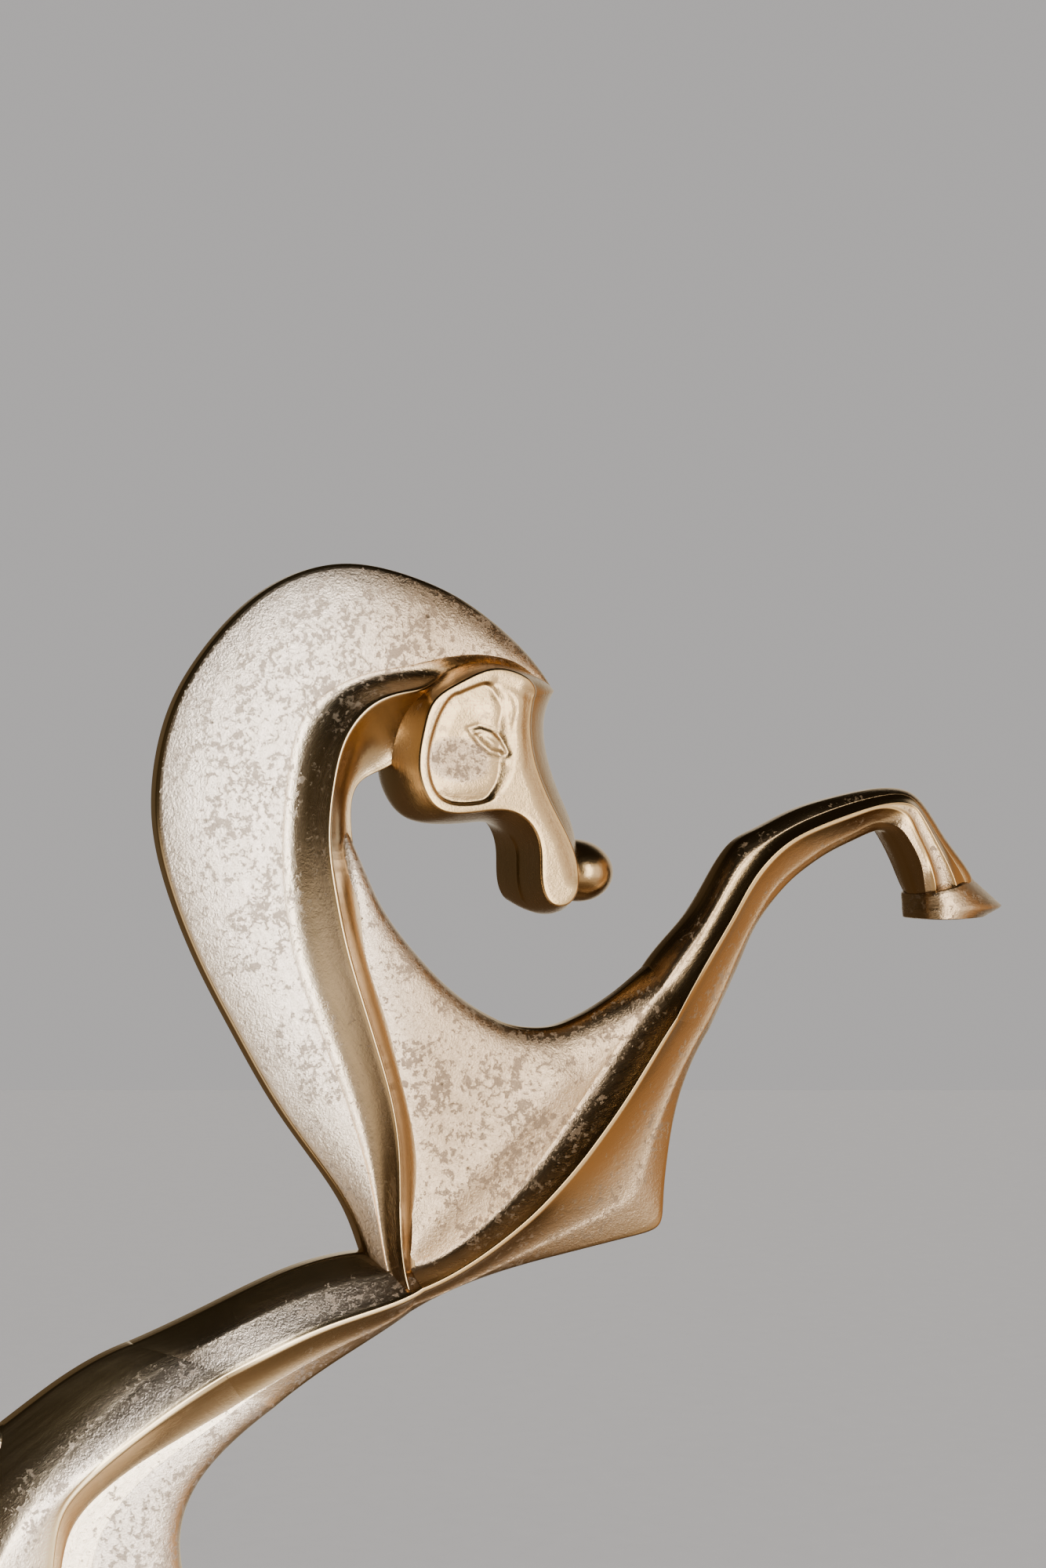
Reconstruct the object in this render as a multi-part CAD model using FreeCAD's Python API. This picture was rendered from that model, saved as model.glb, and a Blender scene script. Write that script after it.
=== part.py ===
"""A cast aluminium figure of a rearing horse, built from pinned castings on a stone plinth.

Millimetres. +X is the way the horse faces, +Z is up, and Y = 0 is the mid-plane about
which the relief is the same on both sides. The origin is on the underside of the felt,
below the middle of the plinth.

A casting is a web of rails. Each rail is a smooth line along the casting, given by points
(x, z, half thickness) in the figure's own drawing, whose x is measured from the middle of
the plinth and z from the plinth's top. Neighbouring rails are joined by ruled faces.
"""
import FreeCAD, Part
import os

Vec = FreeCAD.Vector

# ------------------------------------------------------------------ driving dimensions
FIGURE_HEIGHT = 480.4     # plinth top to the crown of the mane
FIGURE_REACH = 291.4      # plinth middle to the toe of the raised hoof, as drawn
DRAWN_HEIGHT = 480.4      # the same two sizes in the drawing that the rails are given in
DRAWN_REACH = 291.4

# Half thicknesses of the relief
EDGE = 2.5                # thin outer edges
MANE_RIM = 3.2            # outer rim of the mane
PLATE = 8.0               # flat plates: mane, breast and forward hind leg
WEB = 4.5                 # web between the neck and the cheek
NECK_RIDGE = 17.0         # sharp line down the front of the neck
BODY_RIDGE = 16.0         # sharp line from the forearm along the belly to the haunch
LEG_RIDGE = 11.0          # the same line along the raised foreleg
HIP = 19.0                # fullest part of the haunch
SHANK = 9.5               # rear hind leg below the hock
FAR_SHANK = 7.5           # forward hind leg below the hock
TAIL_CREST = 9.0
HEAD_HALF = 19.5          # face of the head
MASK_DEPTH = 1.4          # depth of the face below its rim
EYE_LENGTH = 11.0
EYE_HEIGHT = 5.5
EYE_RELIEF = 1.2
EYE_LEAN = 30.0           # degrees, with the nose bridge
EYE_ROOT = 1.0            # how far the eye is let into the floor of the pocket
NOSE_HALF = 14.0          # half sizes of the round nose: thickness, length and height
NOSE_HALF_LENGTH = 11.7
NOSE_HALF_HEIGHT = 10.0
NOSE_LEAN = 12.0
RIDGE_FLAT = (0.8, -1.3, -0.1)   # step across the narrow burnished flat along a ridge

# Plinth and what holds the figure to it
PLINTH_HEIGHT = 26.0
PLINTH_WIDTH = 100.0
PLINTH_BACK = 14.0        # plinth behind the tail's foot
PLINTH_FRONT = 82.0       # plinth in front of the forward hind hoof
PLINTH_CHAMFER = 2.0
FELT = 2.0
FELT_MARGIN = 3.0
STUD_RADIUS = 3.0
STUD_IN_FIGURE = 12.0
STUD_PAST_NUT = 1.0
STUD_TO_FELT = 1.0
STUD_CLEARANCE = 0.3      # on the radius, through the plinth
WASHER_RADIUS = 7.5
WASHER_THICKNESS = 1.6
NUT_FLATS = 10.0
NUT_HEIGHT = 5.0
RECESS_CLEARANCE = 1.5    # round the washer, in the plinth's underside

# Dowels between castings
DOWEL_RADIUS = 3.0
DOWEL_LENGTH = 24.0
SMALL_DOWEL_RADIUS = 2.0
SMALL_DOWEL_LENGTH = 16.0
DOWEL_CLEARANCE = 0.05    # on the radius

# Hooves
HOOF_HALF = 13.0          # raised hoof
CORONET_LIFT = 5.6        # rise of the raised hoof's coronet from heel to front
HIND_HOOF_HALF = 15.0
HIND_HOOF_LENGTH = 34.0
HIND_HOOF_RISE = 15.0
HOOF_SHAPE = [(1.0, 0.0), (0.80, 0.52), (0.52, 0.92), (0.25, 1.0), (0.05, 0.72), (0.0, 0.0)]

# ------------------------------------------------------------------ places on the figure
TAIL_FOOT = (-116.0, -92.0)      # outer and inner edge of the tail where it lands
REAR_HEEL = -44.0
FORWARD_HEEL = 14.0
EYE_MIDDLE = (97.5, 423.2)
NOSE_MIDDLE = (133.2, 384.3)

SCALE_X = FIGURE_REACH / DRAWN_REACH
SCALE_Z = FIGURE_HEIGHT / DRAWN_HEIGHT
DECK = FELT + PLINTH_HEIGHT
PLINTH_START = TAIL_FOOT[0] * SCALE_X - PLINTH_BACK
PLINTH_END = FORWARD_HEEL * SCALE_X + HIND_HOOF_LENGTH + PLINTH_FRONT
MIDDLE = (PLINTH_START + PLINTH_END) / 2


def place(x, y, z):
    """A drawn point, with its thickness y, in the part's frame."""
    return Vec(x * SCALE_X - MIDDLE, y, z * SCALE_Z + DECK)


def smooth_curve(points):
    """A smooth curve through the points, with its stations at equal parameters."""
    spline = Part.BSplineCurve()
    spline.interpolate(Points=points, Parameters=[float(i) for i in range(len(points))])
    return spline


def rail_curve(rail, side):
    return smooth_curve([place(x, side * half, z) for x, z, half in rail])


def ruled_face(first, second):
    """Face of straight lines between two curves, each station to its fellow."""
    surface = Part.BSplineSurface()
    surface.buildFromPolesMultsKnots(
        [first.getPoles(), second.getPoles()], [2, 2], first.getMultiplicities(),
        [0.0, 1.0], first.getKnots(), False, False, 1, first.Degree)
    return surface.toShape()


def cap_faces(rails, end):
    """Flat faces that close a casting at one end, between neighbouring rails."""
    faces = []
    for first, second in zip(rails, rails[1:]):
        (xa, za, ha), (xb, zb, hb) = first[end], second[end]
        corners = [place(xa, -ha, za), place(xb, -hb, zb), place(xb, hb, zb), place(xa, ha, za)]
        faces.append(Part.Face(Part.makePolygon(corners + corners[:1])))
    return faces


def casting(rails):
    """A closed solid on a web of rails, the same on both sides of the mid-plane."""
    near = [rail_curve(rail, -1) for rail in rails]
    far = [rail_curve(rail, 1) for rail in rails]
    faces = [ruled_face(near[0], far[0]), ruled_face(near[-1], far[-1])]
    for line in (near, far):
        faces += [ruled_face(a, b) for a, b in zip(line, line[1:])]
    faces += cap_faces(rails, 0) + cap_faces(rails, -1)
    return closed_solid(faces)


def closed_solid(faces):
    shell = Part.makeCompound(faces)
    shell.sewShape()
    solid = Part.makeSolid(Part.Shell(shell.Faces))
    if solid.Volume < 0:
        solid.reverse()
    return solid


def largest(shape):
    return max(shape.Solids, key=lambda solid: solid.Volume)


def rod(start, end, radius):
    axis = end - start
    return Part.makeCylinder(radius, axis.Length, start, axis)


def dowel(x, z, dx, dz, radius, length, y=0.0):
    """Ends of a dowel centred on the drawn point (x, z), along (dx, dz)."""
    middle = place(x, y, z)
    half = Vec(dx * SCALE_X, 0, dz * SCALE_Z).normalize() * (length / 2)
    return middle - half, middle + half, radius


# ------------------------------------------------------------------ neck and mane
def neck_and_mane():
    outer = [(124.5, 441.9, 2.6), (117.3, 451.4, 3), (107.5, 460.4, MANE_RIM),
             (94.5, 469.4, MANE_RIM), (79, 476.2, MANE_RIM), (59, 480.4, MANE_RIM),
             (40, 477.4, MANE_RIM), (22, 466.3, MANE_RIM), (6, 447.5, MANE_RIM), (-3, 428, MANE_RIM),
             (-6, 404.5, MANE_RIM), (-1.7, 381.3, MANE_RIM), (7.5, 358, MANE_RIM),
             (18.5, 337, MANE_RIM), (30.5, 316, MANE_RIM), (42.5, 298.7, MANE_RIM),
             (54, 282, MANE_RIM), (60, 268, MANE_RIM), (64.5, 257, MANE_RIM)]
    shoulder = [(122.6, 441.6, 3.2), (112, 449.3, 6.5), (104, 451.9, PLATE), (95, 452.6, PLATE),
                (84, 451.2, PLATE), (73, 448.8, PLATE), (60, 446.3, PLATE), (47, 440.5, PLATE),
                (38, 430.5, PLATE), (34, 414.5, PLATE), (32.4, 395, PLATE), (33, 377, PLATE),
                (36.2, 358.5, PLATE), (42.5, 340.3, PLATE), (49.7, 322.5, PLATE),
                (56, 305, PLATE), (60.8, 288, PLATE), (64.2, 271, PLATE), (67, 257, PLATE + 1)]
    ridge = [(121, 441.2, 3.6), (109.5, 446.7, 5), (102, 448.6, 5), (94.5, 448.8, 5.5),
             (86.5, 446, 7), (76.5, 441.8, 15), (68.5, 440, NECK_RIDGE), (59, 436.3, NECK_RIDGE),
             (50.6, 426.3, NECK_RIDGE), (46.6, 412, NECK_RIDGE), (45.1, 396, NECK_RIDGE),
             (46.8, 380, NECK_RIDGE), (50.4, 363, NECK_RIDGE), (55.3, 346.5, NECK_RIDGE),
             (60.6, 330, NECK_RIDGE), (65, 314.5, NECK_RIDGE), (67.4, 297, NECK_RIDGE),
             (67.8, 276, NECK_RIDGE), (71, 256, BODY_RIDGE + 0.2)]
    inner = [(120, 440.2, 3), (106, 441, WEB), (100, 441, WEB), (94, 440, WEB), (88, 438, WEB),
             (82, 433, WEB), (76.5, 427, WEB), (70.5, 419, WEB), (62.5, 414.6, EDGE),
             (57.2, 408.5, EDGE), (56.7, 396, 3), (57.7, 379, PLATE), (61, 360.5, PLATE),
             (66.2, 343, PLATE), (71.2, 326, PLATE), (75.6, 309, PLATE), (78, 293, PLATE),
             (76.5, 274, PLATE), (75.4, 257.5, PLATE + 1)]
    return casting([outer, shoulder, ridge, inner])


# ------------------------------------------------------------------ breast and foreleg
def below_ridge(point):
    """The lower border of the narrow burnished flat along a ridge."""
    x, z, half = point
    along, down, thinner = RIDGE_FLAT
    return x + along, z + down, half + thinner


THROAT_MIDDLE = (104.6, 337.8, EDGE)
PIT = (73.5, 263, PLATE)
FOREARM_CUT = [(158, 353, EDGE), (158.7, 346, 10), (161.8, 337.4, BODY_RIDGE),
               (162.5, 336.2, BODY_RIDGE - 0.5), (176.5, 333, 6), (179.7, 332, EDGE)]


def breast():
    """Throat plate, the lower end of the foreleg's ridge and the corner of the chest."""
    throat_top = [(55, 398, EDGE), (59.7, 388, EDGE), (66.8, 373.5, EDGE), (77, 360, EDGE),
                  (89.5, 347.5, EDGE), THROAT_MIDDLE]
    neck_foot = [(53, 396, 3), (55, 378, PLATE), (61.5, 350, PLATE), (69.5, 320, PLATE),
                 (74, 292, PLATE), PIT]
    throat_low = [THROAT_MIDDLE, (113, 335, EDGE), (122, 334.4, EDGE), (128.8, 335.7, EDGE),
                  (135, 338.1, EDGE), (139, 340, EDGE), (142.6, 342, EDGE), (147.6, 345.1, EDGE),
                  (152.8, 348.9, EDGE), FOREARM_CUT[0]]
    valley = [PIT, (88, 266.5, PLATE), (103, 277.5, PLATE), (113.7, 288.2, PLATE),
              (123, 299.5, PLATE), (128.5, 307, PLATE), (134, 314.3, PLATE), (142, 324.9, PLATE),
              (150.4, 336, 8.5), FOREARM_CUT[1]]
    ridge = [(75, 256.4, BODY_RIDGE), (92, 263.8, BODY_RIDGE), (107, 273.4, BODY_RIDGE),
             (117.3, 281.8, BODY_RIDGE), (126, 290.4, BODY_RIDGE), (131.5, 296.5, BODY_RIDGE),
             (136.8, 302.9, BODY_RIDGE), (144.5, 312.9, BODY_RIDGE), (153, 325.2, BODY_RIDGE),
             FOREARM_CUT[2]]
    under_ridge = [below_ridge(point) for point in ridge[:-1]] + [FOREARM_CUT[3]]
    chest_foot = [(75.8, 249, 5), (98, 256.8, 5.5), (118, 265, 6), (136, 272, 6.3),
                  (148, 277.5, 6.5), (153, 284, 6.5), (155.5, 291, 6.5), (160, 303, 6.5),
                  (167.3, 318, 6.2), FOREARM_CUT[4]]
    chest_edge = [(76, 246.6, EDGE), (103, 256.6, EDGE), (130, 262, EDGE), (149, 265.3, EDGE),
                  (158.6, 267.2, EDGE), (162.6, 270.6, EDGE), (163.5, 280, EDGE),
                  (165.7, 297, EDGE), (170.2, 314, EDGE), FOREARM_CUT[5]]
    upper = casting([throat_top, neck_foot])
    lower = casting([throat_low, valley, ridge, under_ridge, chest_foot, chest_edge])
    return upper.fuse(lower).removeSplitter()


def foreleg():
    """Raised foreleg, from the cut across the forearm to the pastern."""
    top = [FOREARM_CUT[0], (166, 362.2, EDGE), (174.6, 371.4, EDGE), (181.3, 382, EDGE),
           (189, 392.6, EDGE), (199, 398, EDGE), (212, 403.8, EDGE), (227, 407.9, EDGE),
           (240, 410.3, EDGE), (252, 410.2, EDGE), (260, 404.6, EDGE), (267, 394.9, EDGE),
           (274.5, 385.8, EDGE), (278, 380, EDGE)]
    crest = [FOREARM_CUT[1], (165, 354, 10.5), (173, 363.5, 9.5), (181, 375, 8.5),
             (189, 386.5, 8), (199.5, 394, 7.5), (212, 400, 7), (227, 405, 6.5),
             (239, 407.8, 6.5), (250.7, 408.2, 6.5), (257.7, 401.5, 7), (264, 392, 7.5),
             (270, 383.5, 8), (273, 378, 7.5)]
    ridge = [FOREARM_CUT[2], (168.5, 347.3, 14.5), (176, 358, 13), (184, 369.5, 12),
             (192.5, 382, LEG_RIDGE), (203, 392, LEG_RIDGE), (215, 398, LEG_RIDGE),
             (229, 402.7, LEG_RIDGE), (240, 405.4, LEG_RIDGE), (249.6, 405.4, LEG_RIDGE),
             (255, 400.5, LEG_RIDGE), (260.5, 391.6, LEG_RIDGE), (265.5, 382.5, LEG_RIDGE),
             (267.7, 376, LEG_RIDGE - 0.5)]
    under_ridge = [FOREARM_CUT[3], (169.5, 346.2, 14), (177, 357, 12.7), (185, 368.5, 11.7),
                   (193.4, 381, LEG_RIDGE), (203.7, 391, LEG_RIDGE), (215.5, 396.9, LEG_RIDGE),
                   (229.3, 401.5, LEG_RIDGE), (239.5, 404, LEG_RIDGE), (248, 402, LEG_RIDGE),
                   (252, 396, LEG_RIDGE), (256, 388.5, LEG_RIDGE), (258.8, 380.5, LEG_RIDGE),
                   (260, 374.6, LEG_RIDGE - 1.5)]
    edge = [FOREARM_CUT[4], (183.2, 345, 6), (189, 356.5, 5.5), (195, 367, 5),
            (203.5, 378.5, 4.5), (213.5, 386.2, 4.5), (222, 391.4, 4.5), (232, 395.7, 4.5),
            (239.5, 399, 6), (245.3, 398, 9.5), (249.5, 393.5, LEG_RIDGE - 0.5),
            (253.5, 386.5, LEG_RIDGE - 0.5), (256, 379.5, LEG_RIDGE - 2),
            (257.8, 374.3, LEG_RIDGE - 4)]
    under = [FOREARM_CUT[5], (186.3, 344.8, EDGE), (191.4, 355, EDGE), (197, 365.8, EDGE),
             (206.5, 377.2, EDGE), (215, 384, EDGE), (224, 389.3, EDGE), (233, 393.2, EDGE),
             (240, 395.9, EDGE), (245.2, 396, EDGE), (248.7, 392, EDGE), (252.5, 385.5, EDGE),
             (254.8, 379, EDGE), (256.8, 374, EDGE)]
    return casting([top, crest, ridge, under_ridge, edge, under])


# ------------------------------------------------------------------ body and hind legs
HAUNCH_CUT = [(-13, 243.2, 3), (0, 239, 9.5), (12.1, 234.3, BODY_RIDGE),
              (13, 233, BODY_RIDGE - 0.5), (20, 224.5, PLATE), (32, 220.5, EDGE)]


def barrel():
    """Trunk between the breast and the haunch, under the foot of the neck."""
    back = [(75, 262.5, 5), (61, 266.5, 3), (39, 263.1, 3), (15, 254.1, 3), HAUNCH_CUT[0]]
    flank = [(75, 260, 9), (61.5, 260, 9), (41, 256, 9.5), (19, 248.5, 11), HAUNCH_CUT[1]]
    ridge = [(75, 256.4, BODY_RIDGE), (62, 251.5, BODY_RIDGE), (44, 246.8, BODY_RIDGE),
             (27, 240.6, BODY_RIDGE), HAUNCH_CUT[2]]
    under_ridge = [below_ridge(point) for point in ridge[:-1]] + [HAUNCH_CUT[3]]
    belly = [(75.8, 249, 5), (64, 243, 6), (48.5, 237.5, 7), (33, 231, PLATE), HAUNCH_CUT[4]]
    edge = [(76, 246.6, EDGE), (65, 240.1, EDGE), (52.7, 233.5, EDGE), (41.5, 227, EDGE),
            HAUNCH_CUT[5]]
    return casting([back, flank, ridge, under_ridge, belly, edge])


def rear_hind_leg():
    """Haunch and the hind leg below the tail, down to the coronet."""
    back = [HAUNCH_CUT[0], (-32, 235, 3), (-50, 223.3, 3), (-67, 210.5, 3), (-80.5, 193, 3),
            (-86.5, 172, 3), (-86, 151, 3), (-79, 130, 3), (-70.5, 111.5, 3), (-65, 96, 3),
            (-61.5, 80, 3), (-57, 60, 3), (-51.5, 40, 3), (-45.5, 22, 4), (-42, 10, 5)]
    crest = [HAUNCH_CUT[1], (-17, 229, 10.5), (-34, 215, 13), (-48, 199, 16.5),
             (-58, 182, HIP - 0.5), (-63.5, 164, HIP), (-65.5, 146, 18), (-64.5, 128, 16),
             (-61, 112, 13.5), (-58.5, 97, 11.5), (-55.5, 80, SHANK), (-50.5, 60, SHANK),
             (-45, 40, SHANK), (-38.5, 22, 10.5), (-34, 10, 11.5)]
    ridge = [HAUNCH_CUT[2], (-4, 225.5, BODY_RIDGE), (-19, 215.7, BODY_RIDGE),
             (-32, 205.6, BODY_RIDGE), (-39.3, 194.5, BODY_RIDGE), (-41.5, 176, BODY_RIDGE),
             (-44.5, 157, 15.5), (-49.5, 138, 14.5), (-52, 119, 12), (-51.5, 101, 10),
             (-48, 83, SHANK - 1), (-43.5, 62, SHANK - 1), (-38, 42, SHANK - 1),
             (-30, 24, 9.5), (-24, 10, 10.5)]
    inner = [HAUNCH_CUT[4], (4, 216.5, PLATE), (-12, 208.3, PLATE), (-25, 199.5, PLATE),
             (-33.5, 189, PLATE), (-36.5, 174, PLATE), (-39, 156, PLATE), (-43.5, 138, 7),
             (-47, 119.5, 5), (-47.3, 101, 4), (-44, 83, 3.5), (-39.5, 62, 3.5),
             (-34, 42, 3.5), (-25.5, 25, 4.5), (-18, 10, 5)]
    return casting([back, crest, ridge, inner])


def forward_hind_leg():
    """Hind leg in lower relief, in front of the other one."""
    rear = [(16, 225, PLATE - 0.5), (-4, 214, PLATE - 0.5), (-22, 205, PLATE - 0.5),
            (-37, 190, PLATE - 0.5), (-42, 170, PLATE - 0.5), (-45, 149, PLATE - 0.5),
            (-38.5, 129, PLATE - 1), (-27, 112, 6), (-20.5, 97, 5.5), (-13, 79, 5),
            (-4, 58, 5), (5, 38, 5), (13.5, 20, 5.5), (18, 10, 6)]
    face = [(22, 225, PLATE), (3, 213, PLATE), (-13, 202, PLATE), (-25, 186, PLATE),
            (-28, 168, PLATE), (-29, 149, PLATE), (-26, 130, PLATE), (-19, 113, PLATE),
            (-13.5, 97, FAR_SHANK), (-6, 79, FAR_SHANK), (3, 58, FAR_SHANK),
            (12, 38, FAR_SHANK), (22, 20, 8.5), (29, 10, 9.5)]
    front = [HAUNCH_CUT[5], (19.5, 211.7, EDGE), (9.5, 202, EDGE), (3.6, 191.5, EDGE),
             (2, 179, EDGE), (3.8, 163.5, EDGE), (1.5, 147, EDGE), (-4, 130, EDGE),
             (-7, 112, EDGE), (-5, 94, EDGE), (2, 75, EDGE), (13, 51, EDGE), (25, 28, 4),
             (36, 10, 5)]
    return casting([rear, face, front])


def tail():
    """Tail from the croup, standing on the plinth behind the legs."""
    outer = [(-52, 222, 2.5), (-67, 217.5, 2.5), (-84, 210, 2.5), (-99, 195, 2.5),
             (-110, 172, 2.5), (-116, 144, 2.5), (-117.5, 112, 2.5), (-115.5, 78, 2.5),
             (-112.5, 44, 3), (-111, 18, 5), (TAIL_FOOT[0], 0, 7)]
    crest = [(-54, 215, 6), (-68, 209.5, 8), (-82, 201.5, TAIL_CREST), (-95, 188, TAIL_CREST),
             (-104.5, 167, TAIL_CREST), (-109.5, 141, TAIL_CREST), (-110.5, 111, TAIL_CREST),
             (-108, 78, 8.5), (-105.5, 45, 8.5), (-104.5, 19, 10), (-104, 0, 12)]
    inner = [(-56, 208, 2.5), (-69, 201.5, 2.5), (-80.5, 192.5, 2.5), (-90, 179, 2.5),
             (-97, 160, 2.5), (-101, 137, 2.5), (-101.5, 109, 2.5), (-99, 78, 2.5),
             (-97, 46, 3), (-97, 18, 5), (TAIL_FOOT[1], 0, 7)]
    return casting([outer, crest, inner])


# ------------------------------------------------------------------ head
def head_outline(points, y):
    """Closed wire: one smooth line round the head, with a corner at the forelock."""
    return Part.Wire([smooth_curve([place(x, y, z) for x, z in points]).toShape()])


def head_solid():
    """Head with a flat face on each side, a bulging cheek wall and a bevelled nose bridge."""
    face = [(112, 439.5), (108.5, 445.5), (98, 448), (87, 444), (77.8, 438), (74, 428.5),
            (72.6, 416.5), (76.8, 406.1), (84.5, 402.7), (94, 403.3), (103, 403.3),
            (110, 399), (113, 391), (113.4, 381.5), (117, 374.3), (124, 375.2),
            (126.7, 384.5), (123.3, 395.5), (117.3, 406.5), (112.3, 418.6), (110.5, 430),
            (112, 439.5)]
    middle = [(125, 441.7), (115, 447.5), (98, 450.5), (84, 446.5), (74, 439.5), (70, 428.5),
              (69, 416.5), (73.8, 403.7), (83, 399.5), (94, 399.6), (102.5, 399.8),
              (109.5, 396.5), (113, 390.5), (113.4, 381), (117.5, 372), (126.5, 372),
              (131, 384.5), (130.8, 398), (126.5, 409), (122.6, 419.8), (121.2, 431),
              (125, 441.7)]
    wires = [head_outline(face, -HEAD_HALF), head_outline(middle, 0), head_outline(face, HEAD_HALF)]
    return Part.makeLoft(wires, True, True)


def mask_pocket(side):
    """What is cut from one side of the head to leave a rim round the face."""
    outline = [(84, 438.6), (78.3, 432.5), (75.3, 420), (76.8, 411.5), (81.5, 406.6),
               (89, 405.6), (97, 407.2), (103.2, 413.5), (104.4, 422), (103.6, 431),
               (104.6, 438.5), (98.5, 444.2), (90.5, 442.2), (84, 438.6)]
    wire = head_outline(outline, side * HEAD_HALF)
    return Part.Face(wire).extrude(Vec(0, -side * MASK_DEPTH, 0))


def eye(side):
    """Almond-shaped eye that stands in the pocket, leaning with the nose bridge."""
    half_length = EYE_LENGTH / 2
    half_height = EYE_HEIGHT / 2
    radius = (half_length ** 2 + half_height ** 2) / (2 * half_height)
    floor = HEAD_HALF - MASK_DEPTH
    discs = []
    for way in (-1, 1):
        centre = Vec(0, 0, way * (radius - half_height))
        discs.append(Part.makeCylinder(radius, EYE_RELIEF + EYE_ROOT, centre, Vec(0, 1, 0)))
    almond = discs[0].common(discs[1])
    almond.rotate(Vec(0, 0, 0), Vec(0, 1, 0), EYE_LEAN)
    start = floor - EYE_ROOT if side > 0 else -floor - EYE_RELIEF
    almond.translate(place(EYE_MIDDLE[0], start, EYE_MIDDLE[1]))
    return almond


def head():
    pockets = [mask_pocket(side) for side in (-1, 1)]
    return head_solid().cut(pockets).fuse([eye(-1), eye(1)]).removeSplitter()


def nose():
    """Round end of the muzzle."""
    ball = Part.makeSphere(1.0)
    shape = FreeCAD.Matrix()
    shape.scale(Vec(NOSE_HALF_LENGTH * SCALE_X, NOSE_HALF, NOSE_HALF_HEIGHT * SCALE_Z))
    ball = ball.transformGeometry(shape)
    ball.rotate(Vec(0, 0, 0), Vec(0, 1, 0), NOSE_LEAN)
    ball.translate(place(NOSE_MIDDLE[0], 0, NOSE_MIDDLE[1]))
    return ball


# ------------------------------------------------------------------ hooves
def hoof_section(heel, toe, half, z, lift=0.0):
    """Closed outline with a round heel and a pointed toe, which is higher by the lift."""
    near = [place(heel + along * (toe - heel), -half * out, z + along * lift)
            for along, out in HOOF_SHAPE]
    far = [Vec(point.x, -point.y, point.z) for point in near[-2::-1]]
    points = near + far
    return Part.Wire([smooth_curve(points).toShape()])


def hoof(sections):
    return Part.makeLoft([hoof_section(*section) for section in sections], True, True)


def raised_hoof():
    return hoof([(256.6, 283.5, HOOF_HALF - 0.8, 366.6), (256, DRAWN_REACH, HOOF_HALF, 370.4),
                 (256.4, 279.2, HOOF_HALF - 1, 375.4, CORONET_LIFT)])


def hind_hoof(heel):
    """Hoof that stands on the plinth; its coronet leans back over the heel."""
    toe = heel + HIND_HOOF_LENGTH / SCALE_X
    rise = HIND_HOOF_RISE / SCALE_Z
    return hoof([(heel, toe, HIND_HOOF_HALF - 0.6, 0), (heel, toe, HIND_HOOF_HALF, 0.25 * rise),
                 (heel - 0.5, toe - 11, HIND_HOOF_HALF - 2.5, rise)])


# ------------------------------------------------------------------ plinth and fasteners
def stud_places():
    """Where a stud goes up into each hind hoof and the tail."""
    hoof_middle = 0.42 * HIND_HOOF_LENGTH / SCALE_X
    return [REAR_HEEL + hoof_middle, FORWARD_HEEL + hoof_middle, sum(TAIL_FOOT) / 2]


def recess_depth():
    return WASHER_THICKNESS + NUT_HEIGHT + STUD_PAST_NUT + STUD_TO_FELT


def stud(x):
    bottom = FELT + STUD_TO_FELT
    foot = Vec(place(x, 0, 0).x, 0, bottom)
    return rod(foot, Vec(foot.x, 0, DECK + STUD_IN_FIGURE), STUD_RADIUS)


def washer(x):
    seat = FELT + recess_depth() - WASHER_THICKNESS
    centre = Vec(place(x, 0, 0).x, 0, seat)
    disc = Part.makeCylinder(WASHER_RADIUS, WASHER_THICKNESS, centre)
    hole = Part.makeCylinder(STUD_RADIUS, WASHER_THICKNESS, centre)
    return disc.cut(hole)


def nut(x):
    seat = FELT + recess_depth() - WASHER_THICKNESS - NUT_HEIGHT
    centre = Vec(place(x, 0, 0).x, 0, seat)
    corner = NUT_FLATS / 3 ** 0.5
    corners = []
    for turn in range(7):
        offset = FreeCAD.Rotation(Vec(0, 0, 1), 60 * turn).multVec(Vec(corner, 0, 0))
        corners.append(centre + offset)
    body = Part.Face(Part.makePolygon(corners)).extrude(Vec(0, 0, NUT_HEIGHT))
    return body.cut(Part.makeCylinder(STUD_RADIUS, NUT_HEIGHT, centre))


def plinth():
    length = PLINTH_END - PLINTH_START
    block = Part.makeBox(length, PLINTH_WIDTH, PLINTH_HEIGHT,
                         Vec(-length / 2, -PLINTH_WIDTH / 2, FELT))
    top = [e for e in block.Edges if all(abs(v.Z - DECK) < 0.01 for v in e.Vertexes)]
    block = block.makeChamfer(PLINTH_CHAMFER, top)
    cuts = []
    for x in stud_places():
        foot = Vec(place(x, 0, 0).x, 0, FELT)
        cuts.append(Part.makeCylinder(STUD_RADIUS + STUD_CLEARANCE, PLINTH_HEIGHT, foot))
        cuts.append(Part.makeCylinder(WASHER_RADIUS + RECESS_CLEARANCE, recess_depth(), foot))
    return block.cut(cuts)


def felt():
    length = PLINTH_END - PLINTH_START - 2 * FELT_MARGIN
    width = PLINTH_WIDTH - 2 * FELT_MARGIN
    return Part.makeBox(length, width, FELT, Vec(-length / 2, -width / 2, 0))


# ------------------------------------------------------------------ dowels
def large(x, z, dx, dz, y=0.0):
    return dowel(x, z, dx, dz, DOWEL_RADIUS, DOWEL_LENGTH, y)


def small(x, z, dx, dz, y=0.0):
    return dowel(x, z, dx, dz, SMALL_DOWEL_RADIUS, SMALL_DOWEL_LENGTH, y)


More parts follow.
